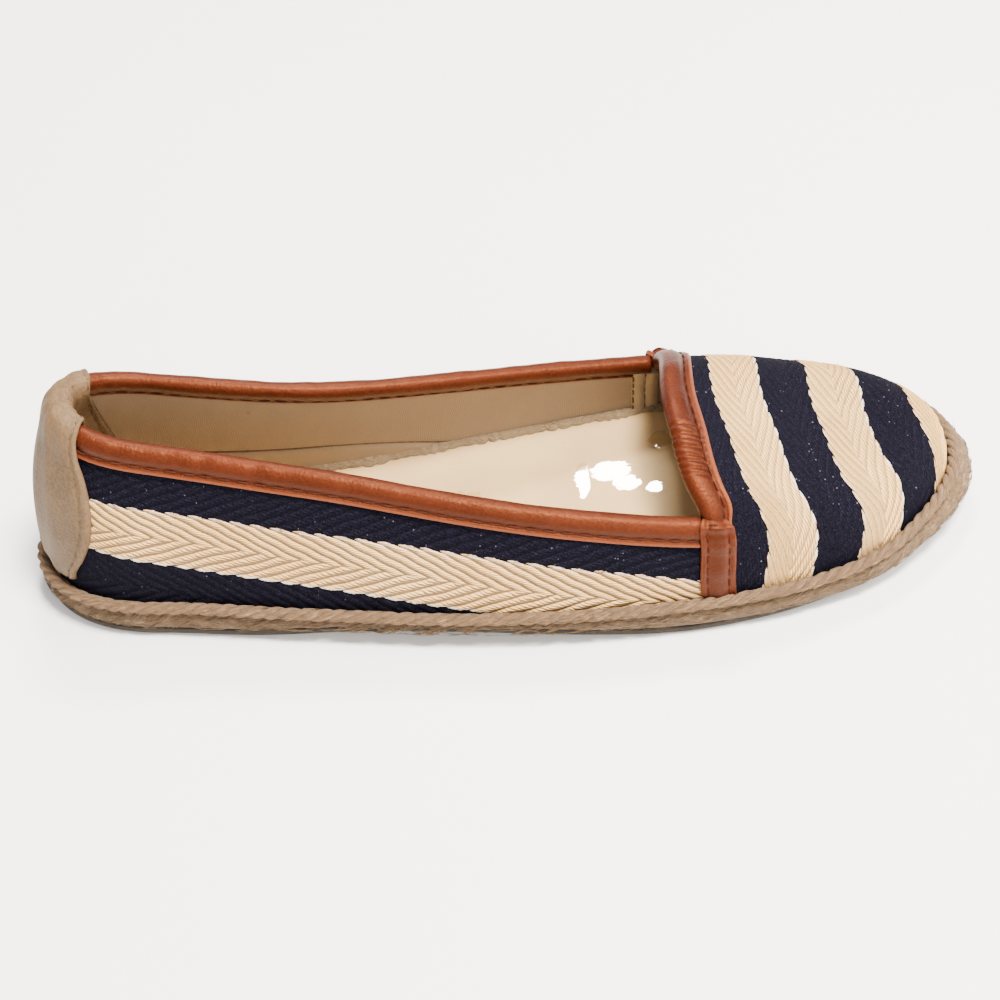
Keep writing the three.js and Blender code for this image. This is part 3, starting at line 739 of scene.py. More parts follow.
# Painted shade: the wrap's colours are darker than the cord's, for the shade on its side that faces down
# under the rope.
WRAP_JUTE = jute("jute_wrap", (0.30, 0.180, 0.084), (0.125, 0.070, 0.031), (0.045, 0.022, 0.009), 0.22, 0.9)
HAIR_JUTE = jute("jute_hairs", (0.44, 0.285, 0.145), (0.27, 0.160, 0.074), (0.115, 0.060, 0.025))
FRINGE = jute("raw_lining_edge", (0.42, 0.30, 0.165), (0.29, 0.195, 0.098), (0.14, 0.085, 0.037), 0.4, 1.6)
COTTON = lining_cotton()
PATENT = patent_sock()
RUBBER = tread_rubber()


# ---- sole

def ring_shares(count):
    return np.arange(count) / count


def slab(loops, count, fill):
    """Rings from the middle of the top over the edge to the middle below, with the sole's outline."""
    u = ring_shares(count)
    x = station(u)

    def spine(inset, height):
        ends = inset(np.array([0.0, LENGTH]))
        xs = np.clip(x, ends[0] + 8, LENGTH - ends[1] - 8)
        return np.stack([xs, centre(xs), height(xs)], -1)
    rings = [over_rim(u, inset(x), height(x)) for inset, height in loops]
    top_spine, low_spine = spine(*loops[0]), spine(*loops[-1])
    shares = np.linspace(0, 1, fill + 1)
    rows = [top_spine + (rings[0] - top_spine) * t for t in shares[:-1]]
    rows += rings
    rows += [rings[-1] + (low_spine - rings[-1]) * t for t in shares[1:]]
    grid = np.array(rows)
    return grid, quads_of(numbers(grid.shape[:2]), close_columns=True)


def under_lift(x):
    """Height of the underside off the floor: the toe's spring, and a hollow at the waist."""
    return spring(x) + np.maximum(along(UNDER_X, UNDER_LIFT, x), 0)


def under_tuck(x):
    return np.maximum(along(UNDER_X, UNDER_TUCK, x), 0)


def make_outsole():
    def at(inset, height):
        return (lambda x: inset + under_tuck(x) + 2.3 * step(165, 225, x)), (lambda x: height + under_lift(x))
    edge = [at(1.3, 2.5), at(1.1, 2.2), at(1.1, 1.2), at(1.25, 0.7), at(1.8, 0.15), at(2.6, 0.0)]
    fill = 32
    grid, faces = slab(edge, 520, fill)
    # Tread: shallow wavy grooves across the underside, inside a plain border.
    low = grid[fill + len(edge):]
    x, y = low[..., 0], low[..., 1]
    inset = np.linspace(0, 1, low.shape[0])[:, None]
    zigzag = np.abs(np.mod(y / 9.0, 2) - 1)
    wave = np.abs(np.mod((x + 3.2 * zigzag) / 5.2, 1) * 2 - 1)
    depth = 0.7
    low[..., 2] += depth * (step(0.55, 0.8, wave) * step(0.04, 0.10, inset))
    piece("outsole_tread", grid, faces, RUBBER, ["outsole"], merge=True)


def make_jute_wrap():
    """Side of the sole, wrapped in jute: low ridges that slant both ways."""
    u = ring_shares(1000)
    x = station(u)
    run = perimeter(u)
    heights = [8.2, 8.05, 7.5, 6.8, 6.0, 5.2, 4.4, 3.7, 3.2, 2.85, 2.45]
    ridges = [(0.16, 9.1, 0.10), (0.14, 3.7, -0.22), (0.09, 1.9, 0.31)]       # height, pitch, slant
    grid = []
    for z in heights:
        belly = np.sin(np.pi * np.clip((z - 2.8) / 5.4, 0, 1)) ** 0.6
        part = np.clip((z - 5.4) / 2.8, 0, 1)
        tuck = 1 - np.clip((z - 2.8) / 4.0, 0, 1)
        braid = sum(high * np.sin(2 * np.pi * (run / pitch + z * slant)) for high, pitch, slant in ridges)
        inset = 1.6 - 1.25 * belly + shelf(x) * part ** 1.4 + under_tuck(x) * tuck - braid * belly
        grid.append(over_rim(u, inset, z + spring(x) * part + under_lift(x) * (1 - part)))
    hidden = [over_rim(u, 12.0, edge[:, 2]) for edge in (grid[0], grid[-1])]
    grid = np.array([hidden[0], *grid, hidden[1]])
    faces = quads_of(numbers(grid.shape[:2]), close_rows=True, close_columns=True)
    level = np.array([4.0, *heights, 0.0])[:, None]
    piece("jute_wrap", grid, faces, WRAP_JUTE, ["jute_body"], lie_of(run, level))


def round_bar(path, side, above, radius, sides):
    """Rings of points round a path, square to it, and the angle of each point in its ring."""
    ring = np.arange(sides) / sides * 2 * np.pi
    return path[:, None] + radius * (
        side[:, None] * np.cos(ring)[None, :, None] + above[:, None] * np.sin(ring)[None, :, None]), ring


def ring_path(u, inset, height):
    x = station(u)
    return over_rim(u, inset + shelf(x), height + spring(x))


def make_rope():
    """Three strands twisted round one another along the top edge of the sole."""
    total = perimeter(0.99999)
    lay, per_turn = 12.6, 20
    count = round(total / lay) * per_turn
    fine = np.linspace(0, 0.9999, 3000)
    u = np.interp(np.arange(count) / count * total, perimeter(fine), fine)
    path = ring_path(u, ROPE_INSET, FOOT_LINE + ROPE_RADIUS)
    ahead = unit(np.roll(path, -1, 0) - np.roll(path, 1, 0))
    out = unit(np.cross(ahead, [0, 0, 1.0]))
    up = np.cross(out, ahead)
    step_number = np.arange(count)
    run = step_number / count * total
    points, faces, lies, start = [], [], [], 0
    for strand in range(3):
        phase = 2 * np.pi * (step_number / per_turn + strand / 3)
        wobble = 1 + 0.06 * np.sin(step_number * 0.37 + strand * 2)
        away = out * np.cos(phase)[:, None] + up * np.sin(phase)[:, None]
        strand_path = path + away * (0.80 * wobble)[:, None]
        tangent = unit(np.roll(strand_path, -1, 0) - np.roll(strand_path, 1, 0))
        side = unit(np.cross(tangent, up))
        radius = 0.92 + 0.05 * np.sin(step_number * 0.9 + strand)[:, None, None]
        tube, ring = round_bar(strand_path, side, np.cross(side, tangent), radius, 10)
        faces.append(quads_of(numbers(tube.shape[:2]), close_rows=True, close_columns=True) + start)
        lies.append(lie_of(run[:, None], np.cos(ring) * 2 + strand * 7, np.sin(ring)).reshape(-1, 3))
        points.append(tube.reshape(-1, 3))
        start += len(points[-1])
    piece("jute_cord_ring", np.concatenate(points), np.concatenate(faces), CORD_JUTE,
          ["jute_rope"], np.concatenate(lies))


def tubes(paths, radii, sides):
    """Closed thin tubes along paths, with their points, faces and places."""
    points, faces, lies, start = [], [], [], 0
    for path, radius in zip(paths, radii):
        tangent = unit(np.gradient(path, axis=0))
        side = unit(np.cross(tangent, [0.31, 0.17, 0.93]))
        taper = np.full(len(path), radius)
        taper[[0, -1]] *= 0.35
        tube, ring = round_bar(path, side, np.cross(side, tangent), taper[:, None, None], sides)
        faces += capped(numbers(tube.shape[:2]) + start)
        lies.append(lie_of(run_along(path)[:, None], ring).reshape(-1, 3))
        points.append(tube.reshape(-1, 3))
        start += len(points[-1])
    return np.concatenate(points), faces, np.concatenate(lies)


def band_point(u, z, out):
    """Point on the side of the sole, on the wrap or the cord, with a distance out from it."""
    x = station(u)
    on_cord = np.sqrt(np.maximum(ROPE_RADIUS ** 2 - (z - FOOT_LINE - ROPE_RADIUS) ** 2, 0))
    on_wrap = 0.25 + 0.9 * ((z - 5.4) / 2.8) ** 2 + under_tuck(x) * np.clip((5.4 - z) / 2.6, 0, 1)
    inset = np.where(z > 8.4, ROPE_INSET + ROPE_RADIUS - on_cord - 0.2, on_wrap)
    return over_rim(u, inset + shelf(x) * np.clip((z - 5.4) / 2.8, 0, 1) - out, z + spring(x))


ROUND_THE_SHOE = 590.0


def slanting_fibre(rng, t):
    """Thick fibre that slants down from the cord over the wrap."""
    u = rng.random()
    length = rng.uniform(4.0, 9.5)
    drop = length * rng.uniform(0.35, 0.62)
    z = rng.uniform(8.4, 11.3) - drop * (1 - t) + rng.normal(0, 0.2) * np.sin(t * np.pi)
    path = band_point(u + length / ROUND_THE_SHOE * t, np.clip(z, 3.4, 11.5), rng.uniform(-0.06, 0.06))
    return path, rng.uniform(0.16, 0.32)


def lying_fibre(rng, t):
    """Thin fibre along the cord or the wrap. Some have a lifted end."""
    u = rng.random()
    cord = rng.random() < 0.4
    z = rng.uniform(9.2, 11.4) if cord else rng.uniform(3.4, 8.2)
    length = rng.uniform(1.5, 6.0)
    slope = rng.normal(0.25 if cord else 0.0, 0.35)
    reach = length / ROUND_THE_SHOE * rng.choice([-1, 1])
    z = z + length * slope * t * 0.6 + rng.normal(0, 0.25) * np.sin(t * np.pi)
    lift = rng.uniform(0.0, 0.22) + rng.uniform(0.0, 0.5) * t ** 2 * (rng.random() < 0.3)
    return band_point(u + reach * t, np.clip(z, 3.2, 11.6), lift), rng.uniform(0.05, 0.12)


def standing_hair(rng, t):
    """Fine hair that stands off the side of the sole."""
    u = rng.random()
    base = band_point(np.array([u]), np.array([rng.uniform(6.0, 11.3)]), -0.2)[0]
    here, further = (band_point(np.array([place]), np.array([8.0]), 0.0)[0] for place in (u, u + 0.002))
    ahead = unit(further - here)
    outward = np.cross(ahead, [0, 0, 1.0])
    up = np.array([0, 0, 1.0])
    way = unit(outward * rng.uniform(0.1, 0.5) + ahead * rng.uniform(-1.0, 1.0) + up * rng.uniform(0.0, 0.9))
    path = base + way * t[:, None] * rng.uniform(1.0, 3.2) + rng.normal(0, 0.5, 3) * t[:, None] ** 2
    return path, rng.uniform(0.03, 0.055)


def make_hairs():
    rng = np.random.default_rng(11)
    t = np.linspace(0, 1, 7)
    kinds = [slanting_fibre] * 460 + [lying_fibre] * 1700 + [standing_hair] * 260
    fibres = [kind(rng, t) for kind in kinds]
    points, faces, lies = tubes(*zip(*fibres), 3)
    piece("loose_jute_fibres", points, faces, HAIR_JUTE, lie=lies)


def make_sock():
    inset = UPPER_INSET + WALL + 0.3

    def at(more, height):
        return (lambda x: inset + more + shelf(x)), (lambda x: height + spring(x))
    fill = 26
    grid, faces = slab([at(0.9, 11.0), at(0.35, 10.85), at(0.0, 10.4), at(0.0, 8.6)], 420, fill)
    x, y = grid[..., 0], grid[..., 1]
    dip = 0.04 * np.sin(x * 0.045 + 0.6) * np.cos(y * 0.06) + 0.04 * np.sin(x * 0.021 + y * 0.05)
    from_edge = np.zeros(grid.shape[:2])
    from_edge[:fill + 1] = 1 - np.linspace(0, 1, fill + 1)[:, None] ** 6
    grid[..., 2] += dip * from_edge
    piece("insole_sock", grid, faces, PATENT, ["insole"], merge=True)


# ---- upper

AXIS = turn(np.array(204.0))
FORWARD = np.array([np.cos(AXIS), np.sin(AXIS), 0.0])
ACROSS = np.array([np.sin(AXIS), -np.cos(AXIS), 0.0])      # towards the outer side
THROAT_TOP = last(share(THROAT), 0.995)
# How far the vamp's cross lines bow towards the toe, from the foot of the wall to the ridge.
BOW_V = [0, 0.2, 0.4, 0.55, 0.7, 0.85, 1.0]
RIDGE_BOW = -1.0
BOW_OUTER = [0.2, 1.7, 2.1, 1.0, -0.9, -1.6, RIDGE_BOW]
BOW_INNER = [0.0, 0.3, 0.9, 1.6, 2.2, 1.0, RIDGE_BOW]
LOW_BORDER = 32.3            # down the quarter, from the topline to the beige stripe's lower edge
# The same to its upper edge, along the shoe.
HIGH_BORDER_X = [0, 40, 77, 105, 140, 157, 169, 178]
HIGH_BORDER = [17.0, 16.4, 15.8, 14.7, 14.5, 15.0, 16.3, 17.6]
FIRST_BORDER, STRIPE_WIDTH = 13.0, 13.35    # of the vamp, from the throat
JOINT = THROAT + 3.2         # where the quarters end under the side strips
# Third value of the lining's places: its height above the seam, or one of these.
NO_SEAM, TAPE = 20.0, 80.0
CANVAS = 1.2                 # depth of the outer cloth, with the cords' relief; the lining is behind it
BACK_SKIP = 4                # the hidden back of a cloth keeps every fourth row and column of its face


def bow(v, outer):
    """How far the cloth's cross lines and the throat edge bow towards the toe."""
    return np.where(outer, along(BOW_V, BOW_OUTER, v), along(BOW_V, BOW_INNER, v))


def wander(point):
    """Small unevenness of the cords along the stripes."""
    x, y, z = point[..., 0], point[..., 1], point[..., 2]
    slow = 0.30 * np.sin(x * 0.29 + z * 0.23)
    return slow + 0.22 * np.sin(x * 0.71 - z * 0.62 + 1.0) + 0.2 * np.sin(y * 0.55 + x * 0.13)


def creases(point):
    """Soft troughs in the canvas: place, reach along and across, depth."""
    troughs = [
        ((60, -27, 42), (14, 9), -0.5),
        ((104, -34, 22), (20, 6), -0.45),
        ((205, -20, 30), (9, 16), -0.5),
        ((188, 12, 40), (8, 16), -0.4),
        ((222, 10, 30), (10, 18), 0.5),
    ]
    depth = 0
    for (x, y, z), (long, wide), amount in troughs:
        d = point - np.array([x, y, z])
        off_axis = d[..., 1] ** 2 + d[..., 2] ** 2
        depth = depth + amount * np.exp(-(d[..., 0] / long) ** 2 - off_axis / wide ** 2)
    x, y, z = point[..., 0], point[..., 1], point[..., 2]
    slow = 0.18 * np.sin(x * 0.11 + z * 0.16) + 0.12 * np.sin(x * 0.057 - y * 0.13 + 1.0)
    return depth + slow


def quarter_grid(outer, rows=101, columns=453):
    """Rows run up the wall, columns from the middle of the heel to the joint with the vamp."""
    end = float(share(JOINT))
    reach = np.linspace(0, perimeter(end), columns)
    fine = np.linspace(0, end, 800)
    u = np.interp(reach, perimeter(fine), fine)
    u = u if outer else -u
    top = topline_v(u)
    return up_to_topline(u, top, [-0.05, -0.025], rows - 2)


def up_to_topline(u, top, below, rows):
    """Grid of u and v from below the foot to just under the topline."""
    level = np.concatenate([below, np.linspace(0, 1, rows)])[:, None]
    v = np.where(level < 0, level, level * top[None] * 0.995)
    return np.broadcast_to(u[None], v.shape), v


def down_wall(u, v, top, steps):
    """Distance down the upper's face, from the level top to v."""
    total, previous = 0, last(u, top)
    on = np.maximum(v, 0)
    for k in range(1, steps + 1):
        now = last(u, top + (on - top) * k / steps)
        total = total + np.linalg.norm(now - previous, axis=-1)
        previous = now
    return total + np.maximum(-v, 0) * FOOT_DEPTH_PER_V


def quarter_lie(u, v):
    """Place in the quarter's cloth: along the stripes, across them in stripes, and down from the topline."""
    total = down_wall(u, v, topline_v(u), 12)
    fine = np.linspace(0, 0.5, 400)
    s = np.interp(np.abs(u), fine, perimeter(fine)) + wander(last(u, np.maximum(v, 0)))
    high = along(HIGH_BORDER_X, HIGH_BORDER, station(u))
    stripe = (total - high) / (LOW_BORDER - high)
    stripe = np.where(stripe > 1, 1 + (stripe - 1) * 0.78, stripe)
    return lie_of(s, stripe, total)


def vamp_grid(rows=261, cols=182):
    """Rows run from the throat to the toe, columns from the outer foot over the ridge to the inner foot."""
    corner = float(topline_v(share(THROAT)))
    level = np.concatenate([np.linspace(-0.05, 0, 3)[:-1], 1 - (1 - np.linspace(0, 1, cols // 2)) ** 1.25])
    v = np.concatenate([level, level[::-1][1:]])
    outer = np.arange(len(v)) < len(level)
    start = bow(np.maximum(v, 0), outer) + THROAT
    rise = step(corner - 0.05, corner + 0.01, v)
    start = JOINT * (1 - rise) + start * rise
    t = np.linspace(0, 1, rows)[:, None] ** 0.92
    low = share(start)[None]
    u = low + (0.5 - low) * t
    return np.broadcast_arrays(np.where(outer[None], u, 1 - u), v[None], outer[None])


def vamp_lie(u, v, outer):
    """Place in the vamp's cloth: along the stripes, across them in stripes, and forward of the throat."""
    on = np.maximum(v, 0)
    point = last(u, on)
    rx, ry, _ = ridge_point(station(u))
    foot = rim(u, UPPER_INSET + shelf(station(u)))
    way = unit(np.stack([foot[..., 0] - rx, foot[..., 1] - ry, 0 * rx], -1))
    s = down_wall(u, v, 1.0, 16) * (way @ ACROSS) + wander(point)
    forward = (point - THROAT_TOP) @ FORWARD
    aside = step(0, 0.7, np.abs(way @ ACROSS))              # 0 straight ahead of the ridge's end
    shift = RIDGE_BOW + (bow(on, outer) - RIDGE_BOW) * aside
    shift = shift * (1 - 0.5 * step(45, 70, forward))
    front = np.clip(way @ FORWARD, 0, 1) ** 2 * step(66, 74, forward) * step(0, 0.35, 1 - on)
    gone = forward - shift + front * 0.6 * np.maximum(30 - point[..., 2], 0)
    return lie_of(s, (gone - FIRST_BORDER) / STRIPE_WIDTH, gone)


def cords(lie):
    """Height of the woven cords: 0 between two cords, and 1 on top of a beige one. Navy ones lie flatter."""
    s, stripe = lie[..., 0], lie[..., 1]
    toward = 1 - 2 * np.abs(np.mod(stripe, 1) - 0.5)
    across = np.mod((s - toward * CORD_RUN) / CORD_PITCH, 1)
    round_ = np.maximum(1 - (2 * across - 1) ** 2, 0) ** 0.9
    from_beige = np.abs(np.mod((stripe + 0.5) * 0.5, 1) * 2 - 1)
    return round_ * (0.38 + 0.62 * step(0.5, 0.47, from_beige))


def cloth(name, u, v, lie, dent, finish, stands_for=(), merge=False):
    """Canvas over the lining: cords and dents on its face, and a plain back with fewer points."""
    points, faces = thick(skin(u, v, dent), skin(u, v, -CANVAS), BACK_SKIP)
    piece(name, points, faces, finish, stands_for, both_sides(lie, BACK_SKIP), merge)


def make_quarters():
    for outer, name, nodes in (
            (True, "quarter_canvas_outer", ["upper"]), (False, "quarter_canvas_inner", ())):
        u, v = quarter_grid(outer)
        lie = quarter_lie(u, v)
        fading = step(0, 0.15, v) * (1 - step(0.8, 1.0, v / topline_v(u)))
        cloth(name, u, v, lie, creases(skin(u, v)) * fading + 0.42 * cords(lie) - 0.20, QUARTER_CANVAS, nodes)


def make_quarter_lining():
    end = float(share(JOINT))
    around = np.linspace(-end, end, 333)
    u, v = up_to_topline(around, topline_v(around), [-0.05, -0.02], 67)
    lie = quarter_lie(u, v)
    face = skin(u, v, -WALL)
    x = station(u)
    above_seam = np.where(x > 15, face[..., 2] - seam_height(x) - 0.3, NO_SEAM)
    fold = lining_fold(face, lie[..., 2])
    points, faces = thick(skin(u, v, -WALL - fold), skin(u, v, -CANVAS - 0.05), BACK_SKIP)
    piece("quarter_lining", points, faces, COTTON,
          lie=both_sides(lie_of(lie[..., 0], lie[..., 2], above_seam), BACK_SKIP))


def make_vamp():
    u, v, outer_side = vamp_grid()
    lie = vamp_lie(u, v, outer_side)
    dent = creases(skin(u, v)) * step(0, 0.15, v) + 0.36 * cords(lie) - 0.18
    cloth("vamp_canvas", u, v, lie, dent, VAMP_CANVAS, merge=True)
    u, v, outer_side = vamp_grid(rows=90, cols=80)
    lie = vamp_lie(u, v, outer_side)
    points, faces = thick(skin(u, v, -CANVAS - 0.05), skin(u, v, -WALL))
    piece("vamp_lining", points, faces, COTTON,
          lie=both_sides(lie_of(lie[..., 0], lie[..., 2], NO_SEAM)), merge=True)


def lining_fold(point, down):
    """Lining's low seam, where a facing is sewn on above the sock, and its slow looseness above it."""
    x, z = point[..., 0], point[..., 2]
    line = seam_height(x)
    facing = 0.55 * (1 - step(line - 0.45, line + 0.1, z)) * step(8, 20, x)
    groove = -0.3 * bell(z, line + 0.45, 0.35) * step(8, 20, x)
    loose = 0.15 * np.sin(x * 0.09 + down * 0.12) * step(9, 18, down)
    return 0.15 + facing + groove + loose + 0.15


def seam_height(x):
    """The facing's seam dips under the sock's edge half way along the shoe."""
    return along([0, 33, 51, 63, 81, 98, 112, 255], [21.0, 20.8, 19.9, 19.4, 18.2, 15.2, 11.8, 8.0], x)


# ---- leather bindings

def stitches(name, lines, finish, length=3.4, pitch=4.6, radius=0.27):
    """A row of short thread stitches along each line of points, each line with its outward directions."""
    paths = []
    t = np.linspace(-0.5, 0.5, 7)
    arch = (1 - (2 * t) ** 4) * 0.30 - 0.28
    for line, outward in lines:
        gone = run_along(line)
        for k in range(int(gone[-1] / pitch)):
            at = (k + 0.5) * pitch
            where = at + t * length
            if where[-1] > gone[-1]:
                break
            path = np.stack([np.interp(where, gone, line[:, j]) for j in range(3)], -1)
            lift = np.stack([np.interp(where, gone, outward[:, j]) for j in range(3)], -1)
            paths.append(path + unit(lift) * arch[:, None])
    points, faces, lies = tubes(paths, [radius] * len(paths), 6)
    piece(name, points, faces, finish, lie=lies)


# Section of the binding that is rolled over an edge: down from the edge, and out from the upper's face.
ROLL = np.array([
    (6.0, 0.25), (6.1, 0.6), (5.9, 0.95), (5.4, 1.05), (4.9, 0.85), (4.4, 0.5), (3.9, 0.8), (3.3, 1.25),
    (2.5, 1.55), (1.5, 1.65), (0.5, 1.55), (-0.5, 1.2), (-1.2, 0.55), (-1.65, -0.3), (-1.8, -1.0),
    (-1.6, -1.8), (-1.1, -2.45), (-0.3, -2.95), (0.6, -3.15), (1.6, -3.15), (2.6, -3.05), (3.4, -2.95),
    (3.9, -2.8), (4.4, -2.55), (4.9, -2.75), (5.4, -2.85), (5.9, -2.8), (6.1, -2.5), (6.0, -2.25),
    (3.0, -2.2), (-0.2, -2.2), (-0.2, 0.2), (3.0, 0.2),
])


COLLAR_GROOVE = 4.4          # down from the topline, where the collar's stitches lie


def make_collar_binding():
    end = float(share(THROAT - 0.6))
    shares = np.linspace(-end, end, 560)
    x = station(shares)
    s = perimeter(np.abs(shares)) * np.sign(shares)
    down, out = ROLL[:, 0][None], ROLL[:, 1][None]
    puff = 1 + 0.05 * np.sin(s * 0.19 + 1.1) + 0.03 * np.sin(s * 0.41) + 0.02 * np.sin(s * 0.83 + 0.7)
    dimple = (0.30 * bell(x, 54, 2.2) + 0.42 * bell(x, 66, 2.0)) * (shares > 0)
    full = np.where(np.abs(down - 1.0) < 3.3, (puff - 1 - dimple * 0.5)[:, None], 0)
    out_now = out + full * np.where(out > 0, 1.6, np.where(out < -WALL, -1.6, 0))
    down_now = down - full * np.where(down < 0, 0.8, 0)
    rows = from_topline(shares[:, None], down_now, out_now)
    piece("collar_binding_leather", rows, capped(numbers(rows.shape[:2])), TAN,
          ["collar_binding"], lie_of(s[:, None], down, bell(down, 5.7, 0.5)))
    lines = []
    for sign in (1, -1):
        u = np.linspace(0.03, end, 300) * sign
        for out_at in (0.72, -WALL - 0.78):
            line = from_topline(u, COLLAR_GROOVE, out_at)
            lines.append((line, line - from_topline(u, COLLAR_GROOVE, -WALL / 2)))
    stitches("collar_stitches", lines, TAN_THREAD)


def throat_path(down, out, v, outer):
    """Point near the throat edge: a distance forward of it, and out from the vamp's face."""
    return skin(on_side(share(THROAT + bow(v, outer) + down), outer), v, out)


# Puckers of the throat binding: distance from the ridge towards the outer side, width, depth.
PUCKERS = [
    (6.8, 0.6, 0.9), (10.2, 0.75, 1.15), (12.0, 0.6, 0.8), (14.6, 0.7, 1.05),
    (17.5, 0.6, 0.85), (19.4, 0.6, 0.8), (21.6, 0.6, 0.6), (23.4, 0.6, 0.4),
]


def make_vamp_binding():
    corner = float(topline_v(share(THROAT)))
    half = 120
    climb = np.linspace(0, 1, half)
    v_up = corner - 0.015 + (1 - corner + 0.015) * (1 - (1 - climb) ** 1.3)
    places = [(v, True) for v in v_up] + [(v, False) for v in v_up[::-1][1:]]
    down, out = np.where(ROLL[:, 0] > 0, ROLL[:, 0] * 1.19, ROLL[:, 0]), ROLL[:, 1]
    s = run_along(np.array([throat_path(0.0, 0.0, np.array(v), outer) for v, outer in places]))
    pucker = sum(depth * bell(s[half - 1] - s, where, width) for where, width, depth in PUCKERS)
    mid = bell(down, 2.4, 2.6) + bell(down, -1.2, 1.6) * 0.6
    grid = []
    for k, (v, outer) in enumerate(places):
        out_now = out - pucker[k] * mid * np.where(out > 0, 1.0, 0.15) + 0.12 * np.sin(s[k] * 0.5) * mid
        near_end = min(s[k], s[-1] - s[k])
        narrowed = 1 - 0.30 * np.exp(-(near_end / 4.5) ** 2) * (down > 3)
        down_now = (down + pucker[k] * 0.5 * bell(down, -1.0, 1.4)) * narrowed
        grid.append(throat_path(down_now, out_now, np.full(len(down), v), outer))
    grid = np.array(grid)
    piece("throat_binding_leather", grid, capped(numbers(grid.shape[:2])), TAN,
          ["vamp_binding"], lie_of(s[:, None], down, bell(down, 6.8, 0.6)))
    line = grid[:, 5]
    outward = line - np.array([throat_path(5.2, -1.0, np.array(v), outer) for v, outer in places])
    stitches("throat_stitches", [(line + unit(outward) * 0.28, outward)], TAN_THREAD, length=3.2, pitch=4.4)


# Section of the side strip: across in shares of its width, and out from the upper's face.
STRIP = np.array([
    (0.0, 0.25), (-0.02, 0.7), (0.02, 1.15), (0.07, 1.35), (0.13, 1.25), (0.19, 0.95),
    (0.26, 1.35), (0.38, 1.75), (0.50, 1.85), (0.62, 1.75), (0.74, 1.35), (0.81, 0.95),
    (0.88, 1.2), (0.95, 1.2), (1.0, 0.8), (1.0, 0.25), (0.5, 0.2),
])
STRIP_WIDTH, STRIP_LIP = 8.6, 1.4      # the lip stands above the topline
# The strip passes over the end of the collar binding: down from the topline, and how far out.
OVER_DOWN = [-3, -1.8, -1, 0, 1, 2.5, 4, 5.5, 6.6, 8, 30]
OVER_OUT = [-1.6, -0.9, 0.35, 1.0, 1.3, 1.25, 0.95, 0.75, 0.35, 0.0, 0.0]


def make_side_strips():
    lines = []
    for outer, name, node in (
            (True, "outer_side_strip", "side_strip_outer"), (False, "inner_side_strip", "side_strip_inner")):
        middle = share(THROAT + 3)
        up = last(middle, np.linspace(0.012, float(topline_v(middle)), 200))
        tall = float(np.linalg.norm(np.diff(up, axis=0), axis=1).sum())
        down = np.linspace(tall, -STRIP_LIP, 90)
        part, lift = STRIP[:, 0], STRIP[:, 1]
        lip = np.clip((down + STRIP_LIP) / 3.6, 0, 1)
        wide = STRIP_WIDTH * np.sqrt(1 - (1 - lip) ** 2 * 0.62)
        left = THROAT - 1.5 + (STRIP_WIDTH - wide) * 0.5 + 0.25 * np.sin(down * 0.3)
        u = on_side(share(left[:, None] + part * wide[:, None]), outer)
        rim_roll = 0.45 * bell(down, 0.6, 0.7) - 0.35 * bell(down, 2.4, 0.7)
        out = lift + (np.interp(down, OVER_DOWN, OVER_OUT) + rim_roll)[:, None]
        out = out + 0.07 * np.sin(down * 1.1)[:, None] * (lift > 1)
        grid = from_topline(u, down[:, None], out)
        worn = bell(part, 1.0, 0.05) + bell(part, 0.0, 0.04) + 0.5 * bell(down, -0.4, 0.8)[:, None]
        piece(name, grid, capped(numbers(grid.shape[:2])), TAN, [node],
              lie_of((tall - down)[:, None], part * 8, worn * 0.7))
        for column in (5, 11):
            line = grid[1:84, column]
            outward = line - from_topline(u[1:84, column], down[1:84], -1.0)
            lines.append((line + unit(outward) * 0.24, outward))
        arc = grid[84, 5:12]
        outward = arc - from_topline(u[84, 5:12], down[84], -1.0)
        lines.append((arc + unit(outward) * 0.2, outward))
    stitches("side_strip_stitches", lines, TAN_THREAD, length=2.4, pitch=3.3)


# ---- heel patch

# Heel patch from its low edge outside, over the topline, to its low edge inside: distance down from the
# topline, its two faces' distances out, and its reach to each side.
PATCH = np.array([
    (46, 0.35, 1.1, 11.0), (40, 0.35, 1.25, 13.5), (32, 0.35, 1.4, 17.3), (26, 0.35, 1.5, 19.0),
    (20, 0.35, 1.55, 19.4), (14, 0.35, 1.6, 18.4), (10, 0.5, 1.75, 16.8), (7, 1.1, 2.2, 15.4),
    (4, 1.7, 2.75, 14.5), (2, 1.95, 2.95, 14.0), (0, 1.8, 2.75, 13.8), (-1.3, 1.3, 2.1, 13.5),
    (-2.25, 0.2, 0.8, 13.0), (-2.55, -1.0, -1.0, 12.5), (-2.3, -2.1, -2.8, 12.0), (-1.3, -2.85, -3.7, 11.6),
    (0, -3.35, -4.3, 11.6), (2, -3.5, -4.5, 12.2), (4, -3.4, -4.4, 13.0), (6.5, -3.1, -4.2, 13.9),
    (9, -2.6, -3.8, 14.8), (13, -2.45, -3.5, 16.0), (20, -2.4, -3.4, 18.2), (28, -2.4, -3.4, 20.6),
    (37, -2.4, -3.4, 23.0),
])


